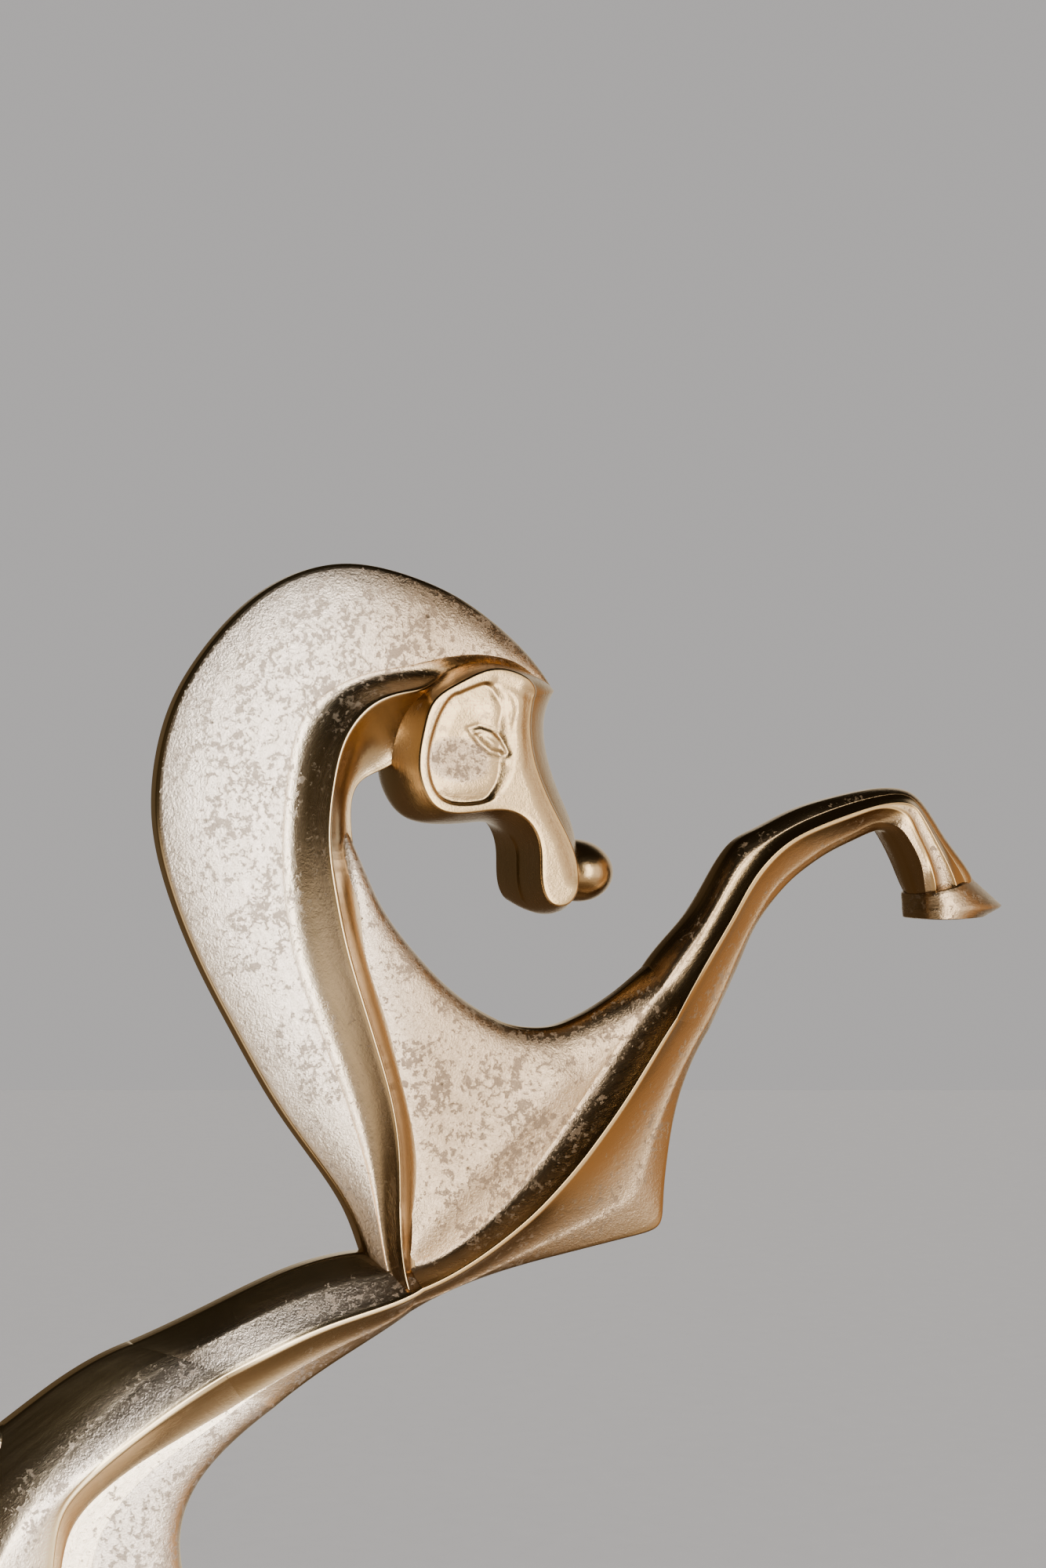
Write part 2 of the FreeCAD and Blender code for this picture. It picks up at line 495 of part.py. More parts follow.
DOWELS = {
    "neck_dowels": [large(66.5, 269, 0, 1), large(77, 303, 1, 0.1), large(62.5, 354, 1, 0.2)],
    "head_dowels": [small(98, 447, 0, 1), small(76.5, 434.5, 1, -0.5)],
    "nose_dowel": [small(130, 384.5, 1, 0)],
    "breast_dowel": [large(75.5, 254.5, 1, 0.42)],
    "forearm_dowel": [large(165, 340.5, 0.55, 0.83)],
    "raised_hoof_dowels": [small(265, 377.8, 0.35, -1, side * 5) for side in (-1, 1)],
    "haunch_dowel": [large(8, 233, 1, 0.55)],
    "hind_leg_dowels": [small(20.5, 219.5, 1, 0.75), small(-35, 176, 1, 0)],
    "tail_dowel": [small(-66.5, 209, 1, -0.35)],
    "hind_hoof_dowels": [small(heel + 12, 15, 0.25, 1, side * 4.5)
                         for heel in (REAR_HEEL, FORWARD_HEEL) for side in (-1, 1)],
}


def drilled(solid):
    """A casting with a hole for each dowel and stud that enters it."""
    holes = [rod(start, end, radius + DOWEL_CLEARANCE)
             for group in DOWELS.values() for start, end, radius in group]
    holes += [stud(x) for x in stud_places()]
    near = [hole for hole in holes if hole.BoundBox.intersect(solid.BoundBox)]
    return largest(solid.cut(near))


def build_nodes():
    """Every node of the assembly, by name."""
    head_body = head()
    neck = largest(neck_and_mane().cut(head_body))
    trunk = barrel()
    neck = largest(neck.cut(trunk))
    chest = largest(breast().cut([neck, trunk]))
    hoof_up = raised_hoof()
    leg = largest(foreleg().cut(hoof_up))
    rear_hoof = hind_hoof(REAR_HEEL)
    forward_hoof = hind_hoof(FORWARD_HEEL)
    rear_leg = largest(rear_hind_leg().cut([rear_hoof, trunk]))
    forward_leg = largest(forward_hind_leg().cut([rear_leg, forward_hoof, trunk]))
    tail_body = largest(tail().cut(rear_leg))
    castings = {
        "head": head_body,
        "nose": largest(nose().cut(head_body)),
        "neck_and_mane": neck,
        "breast": chest,
        "foreleg": leg,
        "raised_hoof": hoof_up,
        "barrel": trunk,
        "rear_hind_leg": rear_leg,
        "forward_hind_leg": forward_leg,
        "rear_hind_hoof": rear_hoof,
        "forward_hind_hoof": forward_hoof,
        "tail": tail_body,
    }
    nodes = {name: drilled(solid) for name, solid in castings.items()}
    for name, group in DOWELS.items():
        nodes[name] = Part.makeCompound([rod(start, end, radius) for start, end, radius in group])
    nodes["plinth"] = plinth()
    nodes["felt"] = felt()
    nodes["studs"] = Part.makeCompound([stud(x) for x in stud_places()])
    nodes["washers"] = Part.makeCompound([washer(x) for x in stud_places()])
    nodes["nuts"] = Part.makeCompound([nut(x) for x in stud_places()])
    return nodes


def main():
    os.makedirs("parts", exist_ok=True)
    for name, shape in build_nodes().items():
        state = "valid" if shape.isValid() else "INVALID"
        print(name, len(shape.Solids), state, round(shape.Volume / 1000, 1), "cm3")
        shape.exportStep("parts/" + name + ".step")


main()
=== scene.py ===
"""Looks of a cast rearing-horse figure on a polished stone plinth.

The figure is a relief that is the same on both sides of the mid-plane Y = 0. Each casting is
a web of rails: smooth lines given by points (x, z, half thickness) in millimetres, with x
from the middle of the plinth and z from its top. Strips between neighbouring rails carry the
plates, hollows and bevels of the casting, and every rail is rounded as a casting is.
"""
import logging
import math
from dataclasses import dataclass, field
from enum import Enum
from typing import Sequence

import bmesh
import bpy
import numpy as np
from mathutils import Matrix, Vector
from mathutils.geometry import delaunay_2d_cdt


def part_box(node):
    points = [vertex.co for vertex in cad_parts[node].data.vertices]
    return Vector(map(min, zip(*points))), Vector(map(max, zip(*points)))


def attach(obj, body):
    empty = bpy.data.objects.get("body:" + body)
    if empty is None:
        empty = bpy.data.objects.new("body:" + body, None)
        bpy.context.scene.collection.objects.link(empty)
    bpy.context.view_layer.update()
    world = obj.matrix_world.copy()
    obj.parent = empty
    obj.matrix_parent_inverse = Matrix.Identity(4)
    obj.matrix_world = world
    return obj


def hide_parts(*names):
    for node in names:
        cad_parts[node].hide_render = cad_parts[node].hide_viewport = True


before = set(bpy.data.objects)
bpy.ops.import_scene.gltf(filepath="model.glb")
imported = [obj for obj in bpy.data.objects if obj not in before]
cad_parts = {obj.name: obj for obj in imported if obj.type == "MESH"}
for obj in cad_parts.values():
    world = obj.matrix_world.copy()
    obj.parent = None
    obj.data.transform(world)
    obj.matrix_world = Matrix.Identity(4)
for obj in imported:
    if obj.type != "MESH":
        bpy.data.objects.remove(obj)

LOG = logging.getLogger("horse")
MM = 0.001
WELD = 4e-6                          # distance within which two corners are one, in metres
CREASE = math.radians(48)            # faces that meet at more than this stay sharp
Point = tuple[float, float, float]
Colour = tuple[float, float, float, float]
Socket = bpy.types.NodeSocket


def corners(node: str) -> tuple[Vector, Vector]:
    """Lowest and highest corner of a CAD node.

    Args:
        node: name of the node.
    Returns:
        The two corners, in metres.
    """
    low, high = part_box(node)
    return Vector(low), Vector(high)


PLINTH_LOW, PLINTH_HIGH = corners("plinth")
MIDDLE_X = (PLINTH_LOW.x + PLINTH_HIGH.x) / 2
DECK = PLINTH_HIGH.z


def to_frame(points: np.ndarray, side: float = -1.0) -> np.ndarray:
    """Places drawn points in the frame.

    Args:
        points: rows (x, z, half thickness) in mm.
        side: -1 for the near side, 1 for the far side.
    Returns:
        Points (x, y, z) in metres.
    """
    x, z, half = points[..., 0], points[..., 1], points[..., 2]
    return np.stack([x * MM + MIDDLE_X, side * half * MM, z * MM + DECK], axis=-1)


def ease(value: np.ndarray) -> np.ndarray:
    """Smooth step.

    Args:
        value: where it is read.
    Returns:
        0 up to 0, 1 from 1 on, smooth between.
    """
    value = np.clip(value, 0.0, 1.0)
    return value * value * (3 - 2 * value)


def smooth_line(points: Sequence[Point], at: np.ndarray) -> np.ndarray:
    """Points on the smooth curve through a rail's points, which are one station apart.

    Args:
        points: the rail's own points.
        at: stations, in units of the rail's points.
    Returns:
        One row (x, z, half thickness) per station.
    """
    p = np.asarray(points, float)
    count = len(p)
    if count == 2:
        slope = np.stack([p[1] - p[0]] * 2)
    else:
        matrix, right = np.eye(count), np.zeros_like(p)
        if count > 3:
            right[0] = (-11 * p[0] + 18 * p[1] - 9 * p[2] + 2 * p[3]) / 6
            right[-1] = (11 * p[-1] - 18 * p[-2] + 9 * p[-3] - 2 * p[-4]) / 6
        else:
            right[0] = (-3 * p[0] + 4 * p[1] - p[2]) / 2
            right[-1] = (3 * p[-1] - 4 * p[-2] + p[-3]) / 2
        for i in range(1, count - 1):
            matrix[i, i - 1:i + 2] = (1, 4, 1)
            right[i] = 3 * (p[i + 1] - p[i - 1])
        slope = np.linalg.solve(matrix, right)
    first = np.clip(np.floor(at).astype(int), 0, count - 2)
    t = (at - first)[:, None]
    a, b, ma, mb = p[first], p[first + 1], slope[first], slope[first + 1]
    return ((2 * t**3 - 3 * t**2 + 1) * a + (t**3 - 2 * t**2 + t) * ma
            + (3 * t**2 - 2 * t**3) * b + (t**3 - t**2) * mb)


def distance_to(line: np.ndarray, x: np.ndarray, z: np.ndarray) -> np.ndarray:
    """Distance from points to a line.

    Args:
        line: the corners (x, z) of an open line, in mm.
        x: x of the points, in mm.
        z: z of the points, in mm.
    Returns:
        The shortest distance of each point, in mm.
    """
    best = np.full(x.shape, np.inf)
    for a, b in zip(line[:-1], line[1:]):
        run = b - a
        share = np.clip(((x - a[0]) * run[0] + (z - a[1]) * run[1]) / (run @ run), 0, 1)
        best = np.minimum(best, np.hypot(x - a[0] - share * run[0], z - a[1] - share * run[1]))
    return best


# ------------------------------------------------------------------ meshes
class Relief:
    """Patches on the near side of a casting, which are mirrored, welded and closed."""

    def __init__(self, name: str) -> None:
        """Starts an empty casting of this name."""
        self.name = name
        self.points: list[np.ndarray] = []
        self.faces: list[np.ndarray] = []
        self.rough: list[np.ndarray] = []
        self.free: list[np.ndarray] = []
        self.flow: list[np.ndarray] = []
        self.count = 0

    def _add(self, points: np.ndarray, faces: np.ndarray, rough: np.ndarray,
             free: np.ndarray, flow: np.ndarray) -> None:
        """Keeps a patch, with its faces counted on from the patches before it.

        Args:
            points: drawn points, in mm.
            faces: point numbers of each face.
            rough: cast roughness of each point.
            free: how freely the skin may wander at each point.
            flow: map coordinates of each point, in metres.
        """
        self.points.append(points)
        self.faces.append(faces + self.count)
        self.rough.append(rough)
        self.free.append(free)
        self.flow.append(flow)
        self.count += len(points)

    def add_grid(self, grid: np.ndarray, rough: np.ndarray, free: np.ndarray,
                 closed: bool = False) -> None:
        """Adds a patch of rows by stations.

        Args:
            grid: drawn points, rows by stations by 3, in mm.
            rough: cast roughness of each point, 0 to 1.
            free: how freely the skin may wander at each point, 0 to 1.
            closed: whether the last station joins the first.
        """
        rows, stations = grid.shape[:2]
        steps = np.linalg.norm(np.diff(grid, axis=1), axis=2)
        along = np.concatenate([np.zeros((rows, 1)), np.cumsum(steps, axis=1)], axis=1)
        along = np.broadcast_to(along.mean(axis=0), (rows, stations))
        rises = np.linalg.norm(np.diff(grid, axis=0), axis=2)
        across = np.concatenate([np.zeros((1, stations)), np.cumsum(rises, axis=0)], axis=0)
        flow = np.stack([along, across], axis=-1).reshape(-1, 2) * MM
        index = np.arange(rows * stations).reshape(rows, stations)
        if closed:
            index = np.concatenate([index, index[:, :1]], axis=1)
        quads = np.stack([index[:-1, :-1], index[:-1, 1:], index[1:, 1:], index[1:, :-1]], axis=-1)
        self._add(grid.reshape(-1, 3), quads.reshape(-1, 4), rough.ravel(), free.ravel(), flow)

    def add_triangles(self, points: np.ndarray, faces: np.ndarray, rough: np.ndarray,
                      free: np.ndarray) -> None:
        """Adds a patch of triangles.

        Args:
            points: drawn points, in mm.
            faces: three point numbers per triangle.
            rough: cast roughness of each point, 0 to 1.
            free: how freely the skin may wander at each point, 0 to 1.
        """
        padded = np.concatenate([faces, faces[:, :1]], axis=1)
        self._add(points, padded, rough, free, points[:, :2] * MM)

    def build(self) -> bpy.types.Object:
        """Makes the closed object.

        Returns:
            The object, with its `rough` and `free` attributes and its `flow` map.
        """
        near = to_frame(np.concatenate(self.points), -1.0)
        far = near * np.array([1, -1, 1])
        quads = np.concatenate(self.faces)
        count = len(near)
        faces = [tuple(dict.fromkeys(f)) for f in quads.tolist()]
        faces += [tuple(i + count for i in reversed(f)) for f in faces]
        faces = [f for f in faces if len(f) > 2]
        mesh = bpy.data.meshes.new(self.name)
        mesh.from_pydata(np.concatenate([near, far]).tolist(), [], faces)
        for label, values in (("rough", self.rough), ("free", self.free)):
            layer = mesh.attributes.new(label, "FLOAT", "POINT")
            layer.data.foreach_set("value", np.tile(np.concatenate(values), 2).astype(np.float32))
        flow = np.tile(np.concatenate(self.flow), (2, 1))
        order = np.zeros(len(mesh.loops), np.int32)
        mesh.loops.foreach_get("vertex_index", order)
        layer = mesh.uv_layers.new(name="flow")
        layer.data.foreach_set("uv", flow[order].astype(np.float32).ravel())
        close_mesh(mesh)
        return link(self.name, mesh)


def close_mesh(mesh: bpy.types.Mesh) -> None:
    """Welds a mesh's seams, fills its open ends and turns its faces outward.

    Args:
        mesh: the mesh, which is changed in place.
    """
    work = bmesh.new()
    work.from_mesh(mesh)
    bmesh.ops.remove_doubles(work, verts=work.verts, dist=WELD)
    bmesh.ops.dissolve_degenerate(work, edges=work.edges, dist=WELD / 2)
    open_edges = [edge for edge in work.edges if edge.is_boundary]
    if open_edges:
        filled = bmesh.ops.holes_fill(work, edges=open_edges, sides=0)["faces"]
        bmesh.ops.triangulate(work, faces=filled)
    bmesh.ops.recalc_face_normals(work, faces=work.faces)
    if work.calc_volume(signed=True) < 0:
        bmesh.ops.reverse_faces(work, faces=work.faces)
    for face in work.faces:
        face.smooth = True
    loose = sum(1 for edge in work.edges if not edge.is_manifold)
    if loose:
        LOG.warning("%s has %d open edges", mesh.name, loose)
    work.to_mesh(mesh)
    work.free()
    mesh.set_sharp_from_angle(angle=CREASE)


def link(name: str, mesh: bpy.types.Mesh) -> bpy.types.Object:
    """Puts a mesh in the scene.

    Args:
        name: name of the new object.
        mesh: its mesh, with its place in its points.
    Returns:
        The object, at the origin.
    """
    piece = bpy.data.objects.new(name, mesh)
    bpy.context.scene.collection.objects.link(piece)
    return piece


# ------------------------------------------------------------------ castings from rails
FULL_SAG_WIDTH = 10.0   # mm; narrower strips sag less
MOST_ROUNDING = 0.42    # share of a strip's width that a rounded rail may take
FAR_FROM_RAIL = 9.0     # mm; stands for a rail that isn't rounded
EDGE_ROUGH = (0.25, 0.15, 0.1)
CORNER_ROUGH = 0.05
RAIL_ROUGH = 0.25       # share of a strip's roughness that is left beside a rail


class Rise(Enum):
    """How the half thickness goes from one rail to the next."""

    STRAIGHT = "straight"
    COVE = "cove"          # flat at first, then steeper
    DOME = "dome"          # steep at first, then flatter
    PLATE_UP = "plate up"  # a rounded shoulder at the first rail, then a flat plate
    PLATE_DOWN = "plate down"


@dataclass(frozen=True)
class Strip:
    """The surface between two rails. Each pair is its value at the first and last station.

    Args:
        rows: number of rows of faces across it.
        rise: how the half thickness changes.
        power: steepness of a cove or dome.
        reach: width in mm of a plate's rounded shoulder.
        sag: hollow below the plain shape at mid-width, in mm.
        rough: cast roughness at the first rail, the middle and the last rail.
        rough_end: the same at the last station, where it differs.
    """

    rows: int
    rise: Rise = Rise.STRAIGHT
    power: tuple[float, float] = (2.0, 2.0)
    reach: tuple[float, float] = (5.0, 5.0)
    sag: tuple[float, float] = (0.0, 0.0)
    rough: tuple[float, float, float] = (0.4, 0.4, 0.4)
    rough_end: tuple[float, float, float] | None = None

    def share(self, t: np.ndarray, width: np.ndarray) -> np.ndarray:
        """How far the half thickness has gone from the first rail's to the second's.

        Args:
            t: place across the strip at each station, 0 to 1.
            width: the strip's width at each station, in mm.
        Returns:
            The share at each station, 0 to 1.
        """
        if self.rise is Rise.COVE:
            return t ** spread(self.power, t)
        if self.rise is Rise.DOME:
            return 1 - (1 - t) ** spread(self.power, t)
        reach = spread(self.reach, t)
        full = 1 - np.exp(-width / reach)
        if self.rise is Rise.PLATE_UP:
            return (1 - np.exp(-t * width / reach)) / full
        if self.rise is Rise.PLATE_DOWN:
            return 1 - (1 - np.exp(-(1 - t) * width / reach)) / full
        return t

    def at(self, t: np.ndarray, first: np.ndarray, last: np.ndarray,
           width: np.ndarray) -> np.ndarray:
        """One row of the strip.

        Args:
            t: place across the strip at each station, 0 to 1.
            first: the first rail's points.
            last: the last rail's points.
            width: the strip's width at each station, in mm.
        Returns:
            Drawn points, one per station.
        """
        point = first + (last - first) * t[:, None]
        share = self.share(t, width)
        point[:, 2] = first[:, 2] + (last[:, 2] - first[:, 2]) * share
        hollow = np.minimum(1.0, width / FULL_SAG_WIDTH)
        point[:, 2] -= spread(self.sag, t) * hollow * 4 * t * (1 - t)
        return point

    def roughness(self, t: np.ndarray) -> np.ndarray:
        """Cast roughness of one row.

        Args:
            t: place across the strip at each station, 0 to 1.
        Returns:
            The roughness at each station.
        """
        first = np.interp(t, [0.0, 0.5, 1.0], self.rough)
        last = np.interp(t, [0.0, 0.5, 1.0], self.rough_end or self.rough)
        return first + (last - first) * np.linspace(0, 1, len(t))


def spread(pair: tuple[float, float], like: np.ndarray) -> np.ndarray:
    """Evenly spread values.

    Args:
        pair: the values at the first and last station.
        like: an array with one entry per station.
    Returns:
        One value per station.
    """
    return np.linspace(pair[0], pair[1], len(like))


@dataclass(frozen=True)
class Swell:
    """A soft ridge or hollow along a line, added to the half thickness."""

    line: tuple[tuple[float, float], ...]
    height: float
    width: float

    def lift(self, x: np.ndarray, z: np.ndarray) -> np.ndarray:
        """Height at some points.

        Args:
            x: x of the points, in mm.
            z: z of the points, in mm.
        Returns:
            Height at each point, in mm.
        """
        gap = distance_to(np.asarray(self.line, float), x, z)
        return self.height * np.exp(-(gap / self.width) ** 2)


CORNER_ROWS = 5
EDGE_ROWS = 3


@dataclass(frozen=True)
class Web:
    """A patch of rails and strips, with an upright edge outside the first and last rail.

    Args:
        rails: the rails, from one outline to the other, with as many points each.
        strips: one fewer than the rails.
        radii: radius in mm of the rounding at each rail.
        span: first and last station that the patch covers.
        steps: rows of faces per station.
        swells: soft ridges on it.
        polish: width in mm of the burnished band beside each rail.
    """

    rails: tuple[tuple[Point, ...], ...]
    strips: tuple[Strip, ...]
    radii: tuple[float, ...]
    span: tuple[float, float]
    steps: int
    swells: tuple[Swell, ...] = ()
    polish: float = 2.0

    def lay(self, relief: Relief) -> None:
        """Adds the patch to a casting.

        Args:
            relief: the casting's patches.
        """
        stations = int(round((self.span[1] - self.span[0]) * self.steps)) + 1
        at = np.linspace(self.span[0], self.span[1], stations)
        lines = [smooth_line(rail, at) for rail in self.rails]
        flat = np.array([1.0, 1.0, 0.0])
        lines = [lines[0] * flat, *lines, lines[-1] * flat]
        edge = Strip(EDGE_ROWS, rough=EDGE_ROUGH)
        strips = [edge, *self.strips, edge]
        radii = [0.0, *self.radii, 0.0]
        rows, rough, free = [], [], []
        widths = [np.maximum(np.linalg.norm(b - a, axis=1), 1e-6)
                  for a, b in zip(lines, lines[1:])]
        for number, strip in enumerate(strips):
            first, last, width = lines[number], lines[number + 1], widths[number]
            start = np.minimum(radii[number] / width, MOST_ROUNDING)
            stop = 1 - np.minimum(radii[number + 1] / width, MOST_ROUNDING)
            for row in range(strip.rows + 1):
                if row == 0 and number and radii[number] == 0:
                    continue
                t = np.clip(start + (stop - start) * row / strip.rows, 0.0, 1.0)
                rows.append(strip.at(t, first, last, width))
                near = np.minimum(t * width if radii[number] else FAR_FROM_RAIL + t,
                                  (1 - t) * width if radii[number + 1] else FAR_FROM_RAIL + t)
                fade = ease(near / self.polish)
                rough.append(strip.roughness(t) * (RAIL_ROUGH + (1 - RAIL_ROUGH) * fade))
                inside = 0 < number < len(strips) - 1
                free.append(fade * (1.0 if inside else 0.0))
            if number < len(strips) - 1 and radii[number + 1] > 0:
                after, nextline = strips[number + 1], lines[number + 2]
                begin = np.minimum(radii[number + 1] / widths[number + 1], MOST_ROUNDING)
                a = rows[-1]
                b = after.at(begin, last, nextline, widths[number + 1])
                for step in range(1, CORNER_ROWS):
                    u = step / CORNER_ROWS
                    rows.append((1 - u) ** 2 * a + 2 * u * (1 - u) * last + u * u * b)
                    rough.append(np.full(stations, CORNER_ROUGH))
                    free.append(np.zeros(stations))
        grid = np.stack(rows)
        for swell in self.swells:
            lift = swell.lift(grid[..., 0], grid[..., 1])
            grid[..., 2] += lift * np.stack(free)
        relief.add_grid(grid, np.stack(rough), np.stack(free))


# ------------------------------------------------------------------ node trees
class Tree:
    """Short ways to add nodes to a tree and join them."""

    def __init__(self, tree: bpy.types.NodeTree) -> None:
        """Works on this tree."""
        self.tree = tree

    def add(self, kind: str, inputs: dict | None = None, **settings) -> bpy.types.Node:
        """Adds a node.

        Args:
            kind: the node's type.
            inputs: constant or output for each input, by name or number.
            settings: the node's own settings.
        Returns:
            The node.
        """
        node = self.tree.nodes.new(kind)
        for key, value in settings.items():
            setattr(node, key, value)
        for key, value in (inputs or {}).items():
            self.put(node.inputs[key], value)
        return node

    def put(self, socket: Socket, value: object) -> None:
        """Fills an input.

        Args:
            socket: the input.
            value: a constant, an output, or a node whose first output is meant.
        """
        if isinstance(value, bpy.types.NodeSocket):
            self.tree.links.new(value, socket)
        elif isinstance(value, bpy.types.Node):
            self.tree.links.new(value.outputs[0], socket)
        else:
            socket.default_value = value

    def math(self, operation: str, *values: object, clamp: bool = False) -> Socket:
        """Adds a math node.

        Args:
            operation: what it does.
            values: constants or outputs, in order.
            clamp: whether its result stays within 0 and 1.
        Returns:
            Its value.
        """
        node = self.add("ShaderNodeMath", dict(enumerate(values)), operation=operation)
        node.use_clamp = clamp
        return node.outputs[0]

    def total(self, first: Socket, *parts: tuple[object, float]) -> Socket:
        """Adds weighted parts to a value.

        Args:
            first: the value.
            parts: what is added, each with its weight.
        Returns:
            The sum.
        """
        for part, weight in parts:
            first = self.math("ADD", first, self.math("MULTIPLY", part, weight))
        return first

    def band(self, value: object, low: float, high: float, start: float = 0.0,
             end: float = 1.0) -> Socket:
        """Maps a value smoothly.

        Args:
            value: the value.
            low: the value that gives start.
            high: the value that gives end.
            start: result at low and before it.
            end: result at high and past it.
        Returns:
            The mapped value.
        """
        node = self.add("ShaderNodeMapRange", {"Value": value, "From Min": low, "From Max": high,
                                               "To Min": start, "To Max": end},
                        interpolation_type="SMOOTHSTEP")
        return node.outputs["Result"]

    def mix(self, factor: object, first: object, second: object, blend: str = "MIX") -> Socket:
        """Mixes two colours.

        Args:
            factor: how much of the second, 0 to 1.
            first: the first colour.
            second: the second colour.
            blend: how they mix.
        Returns:
            The mixed colour.
        """
        node = self.add("ShaderNodeMix", data_type="RGBA", blend_type=blend)
        self.put(node.inputs[0], factor)
        self.put(node.inputs[6], first)
        self.put(node.inputs[7], second)
        return node.outputs[2]

    def noise(self, vector: Socket, scale: float, detail: float = 3.0, rough: float = 0.55,
              distortion: float = 0.0) -> Socket:
        """Adds a noise texture.

        Args:
            vector: where it is read.
            scale: its scale, per metre.
            detail: number of finer layers.
            rough: strength of the finer layers.
            distortion: how far it is warped.
        Returns:
            Its value.
        """
        node = self.add("ShaderNodeTexNoise", {"Vector": vector, "Scale": scale,
                                               "Detail": detail, "Roughness": rough,
                                               "Distortion": distortion})
        return node.outputs[0]

    def stretched(self, vector: Socket, scale: Point) -> Socket:
        """Coordinates stretched by a scale along each axis."""
        return self.add("ShaderNodeMapping", {"Vector": vector, "Scale": scale}).outputs[0]

    def along(self, vector: Socket, direction: Point) -> Socket:
        """How far a direction points along a given one."""
        dot = self.add("ShaderNodeVectorMath", {0: vector, 1: direction},
                       operation="DOT_PRODUCT")
        return dot.outputs["Value"]


def new_group(name: str, inputs: dict[str, tuple[str, object]],
              outputs: dict[str, str]) -> tuple[Tree, bpy.types.Node, bpy.types.Node]:
    """Starts a shader node group.

    Args:
        name: the group's name.
        inputs: socket kind and default of each input.
        outputs: socket kind of each output.
    Returns:
        The tree, its input node and its output node.
    """
    tree = bpy.data.node_groups.new(name, "ShaderNodeTree")
    for label, (kind, default) in inputs.items():
        socket = tree.interface.new_socket(label, in_out="INPUT", socket_type=kind)
        if default is not None:
            socket.default_value = default
    for label, kind in outputs.items():
        tree.interface.new_socket(label, in_out="OUTPUT", socket_type=kind)
    return Tree(tree), tree.nodes.new("NodeGroupInput"), tree.nodes.new("NodeGroupOutput")


def use_group(tree: Tree, group: bpy.types.NodeTree, inputs: dict) -> bpy.types.Node:
    """Adds a group node to a tree.

    Args:
        tree: the tree.
        group: the group.
        inputs: constant or output for each named input.
    Returns:
        The node.
    """
    node = tree.add("ShaderNodeGroup")
    node.node_tree = group
    for key, value in inputs.items():
        tree.put(node.inputs[key], value)
    return node


VALUE = "NodeSocketFloat"
VECTOR = "NodeSocketVector"
GEOMETRY = "NodeSocketGeometry"
METAL = "NodeSocketMaterial"


def new_material(name: str) -> tuple[bpy.types.Material, Tree, Socket]:
    """Starts a material.

    Args:
        name: its name.
    Returns:
        The material, its empty tree and the object coordinates.
    """
    material = bpy.data.materials.new(name)
    material.use_nodes = True
    material.node_tree.nodes.clear()
    tree = Tree(material.node_tree)
    return material, tree, tree.add("ShaderNodeTexCoord").outputs["Object"]


def show(tree: Tree, shader: bpy.types.Node) -> None:
    """Ends a material's tree in its surface shader."""
    tree.add("ShaderNodeOutputMaterial", {"Surface": shader.outputs[0]})


def cast_skin_group() -> bpy.types.NodeTree:
    """Oxide islands, pits and grain of a sand-cast skin, from object coordinates.

    Returns:
        A group from Vector and Rough to Oxide, Pits and Height.
    """
    tree, start, end = new_group(
        "cast_skin", {"Vector": (VECTOR, None), "Rough": (VALUE, 0.5)},
        {"Oxide": VALUE, "Pits": VALUE, "Height": VALUE})
    where, rough = start.outputs["Vector"], start.outputs["Rough"]
    broad = tree.noise(where, 40.0, 3.0, 0.6)
    middle = tree.noise(where, 190.0, 4.0, 0.6, 0.2)
    fine = tree.noise(where, 520.0, 5.0, 0.7, 0.4)
    sand = tree.noise(where, 1400.0, 2.0, 0.6)
    level = tree.total(fine, (tree.math("SUBTRACT", rough, 0.7), 0.22),
                       (tree.math("SUBTRACT", broad, 0.5), 0.42),
                       (tree.math("SUBTRACT", middle, 0.5), 0.45))
    islands = tree.band(level, 0.53, 0.64)
    oxide = tree.math("MULTIPLY", islands, tree.band(rough, 0.2, 0.55), clamp=True)
    craters = tree.add("ShaderNodeTexVoronoi", {"Vector": where, "Scale": 210.0,
                                                "Randomness": 1.0}, feature="F1")
    crater = tree.band(craters.outputs["Distance"], 0.22, 0.05)
    pits = tree.math("MULTIPLY", crater, tree.band(middle, 0.56, 0.66))
    pits = tree.math("MULTIPLY", pits, tree.band(rough, 0.4, 1.0))
    bumps = tree.total(tree.math("MULTIPLY", middle, 0.5), (fine, 0.5), (sand, 0.42))
    height = tree.total(tree.math("MULTIPLY", bumps, tree.band(rough, 0.0, 1.1)),
                        (pits, -0.5), (oxide, -0.10))
    for label, value in (("Oxide", oxide), ("Pits", pits), ("Height", height)):
        tree.put(end.inputs[label], value)
    return tree.tree


def burnish_group() -> bpy.types.NodeTree:
    """Fine streaks left by hand burnishing, running along the map's first direction.

    Returns:
        A group from Vector to Streak and Height.
    """
    tree, start, end = new_group("burnish", {"Vector": (VECTOR, None)},
                                 {"Streak": VALUE, "Height": VALUE})
    fine = tree.noise(tree.stretched(start.outputs["Vector"], (90.0, 2300.0, 1.0)), 1.0, 2.0, 0.5)
    broad = tree.noise(tree.stretched(start.outputs["Vector"], (25.0, 420.0, 1.0)), 1.0, 3.0)
    streak = tree.total(tree.math("MULTIPLY", fine, 0.4), (broad, 0.6))
    tree.put(end.inputs["Streak"], tree.band(streak, 0.36, 0.64))
    tree.put(end.inputs["Height"], tree.total(broad, (fine, 0.35)))
    return tree.tree


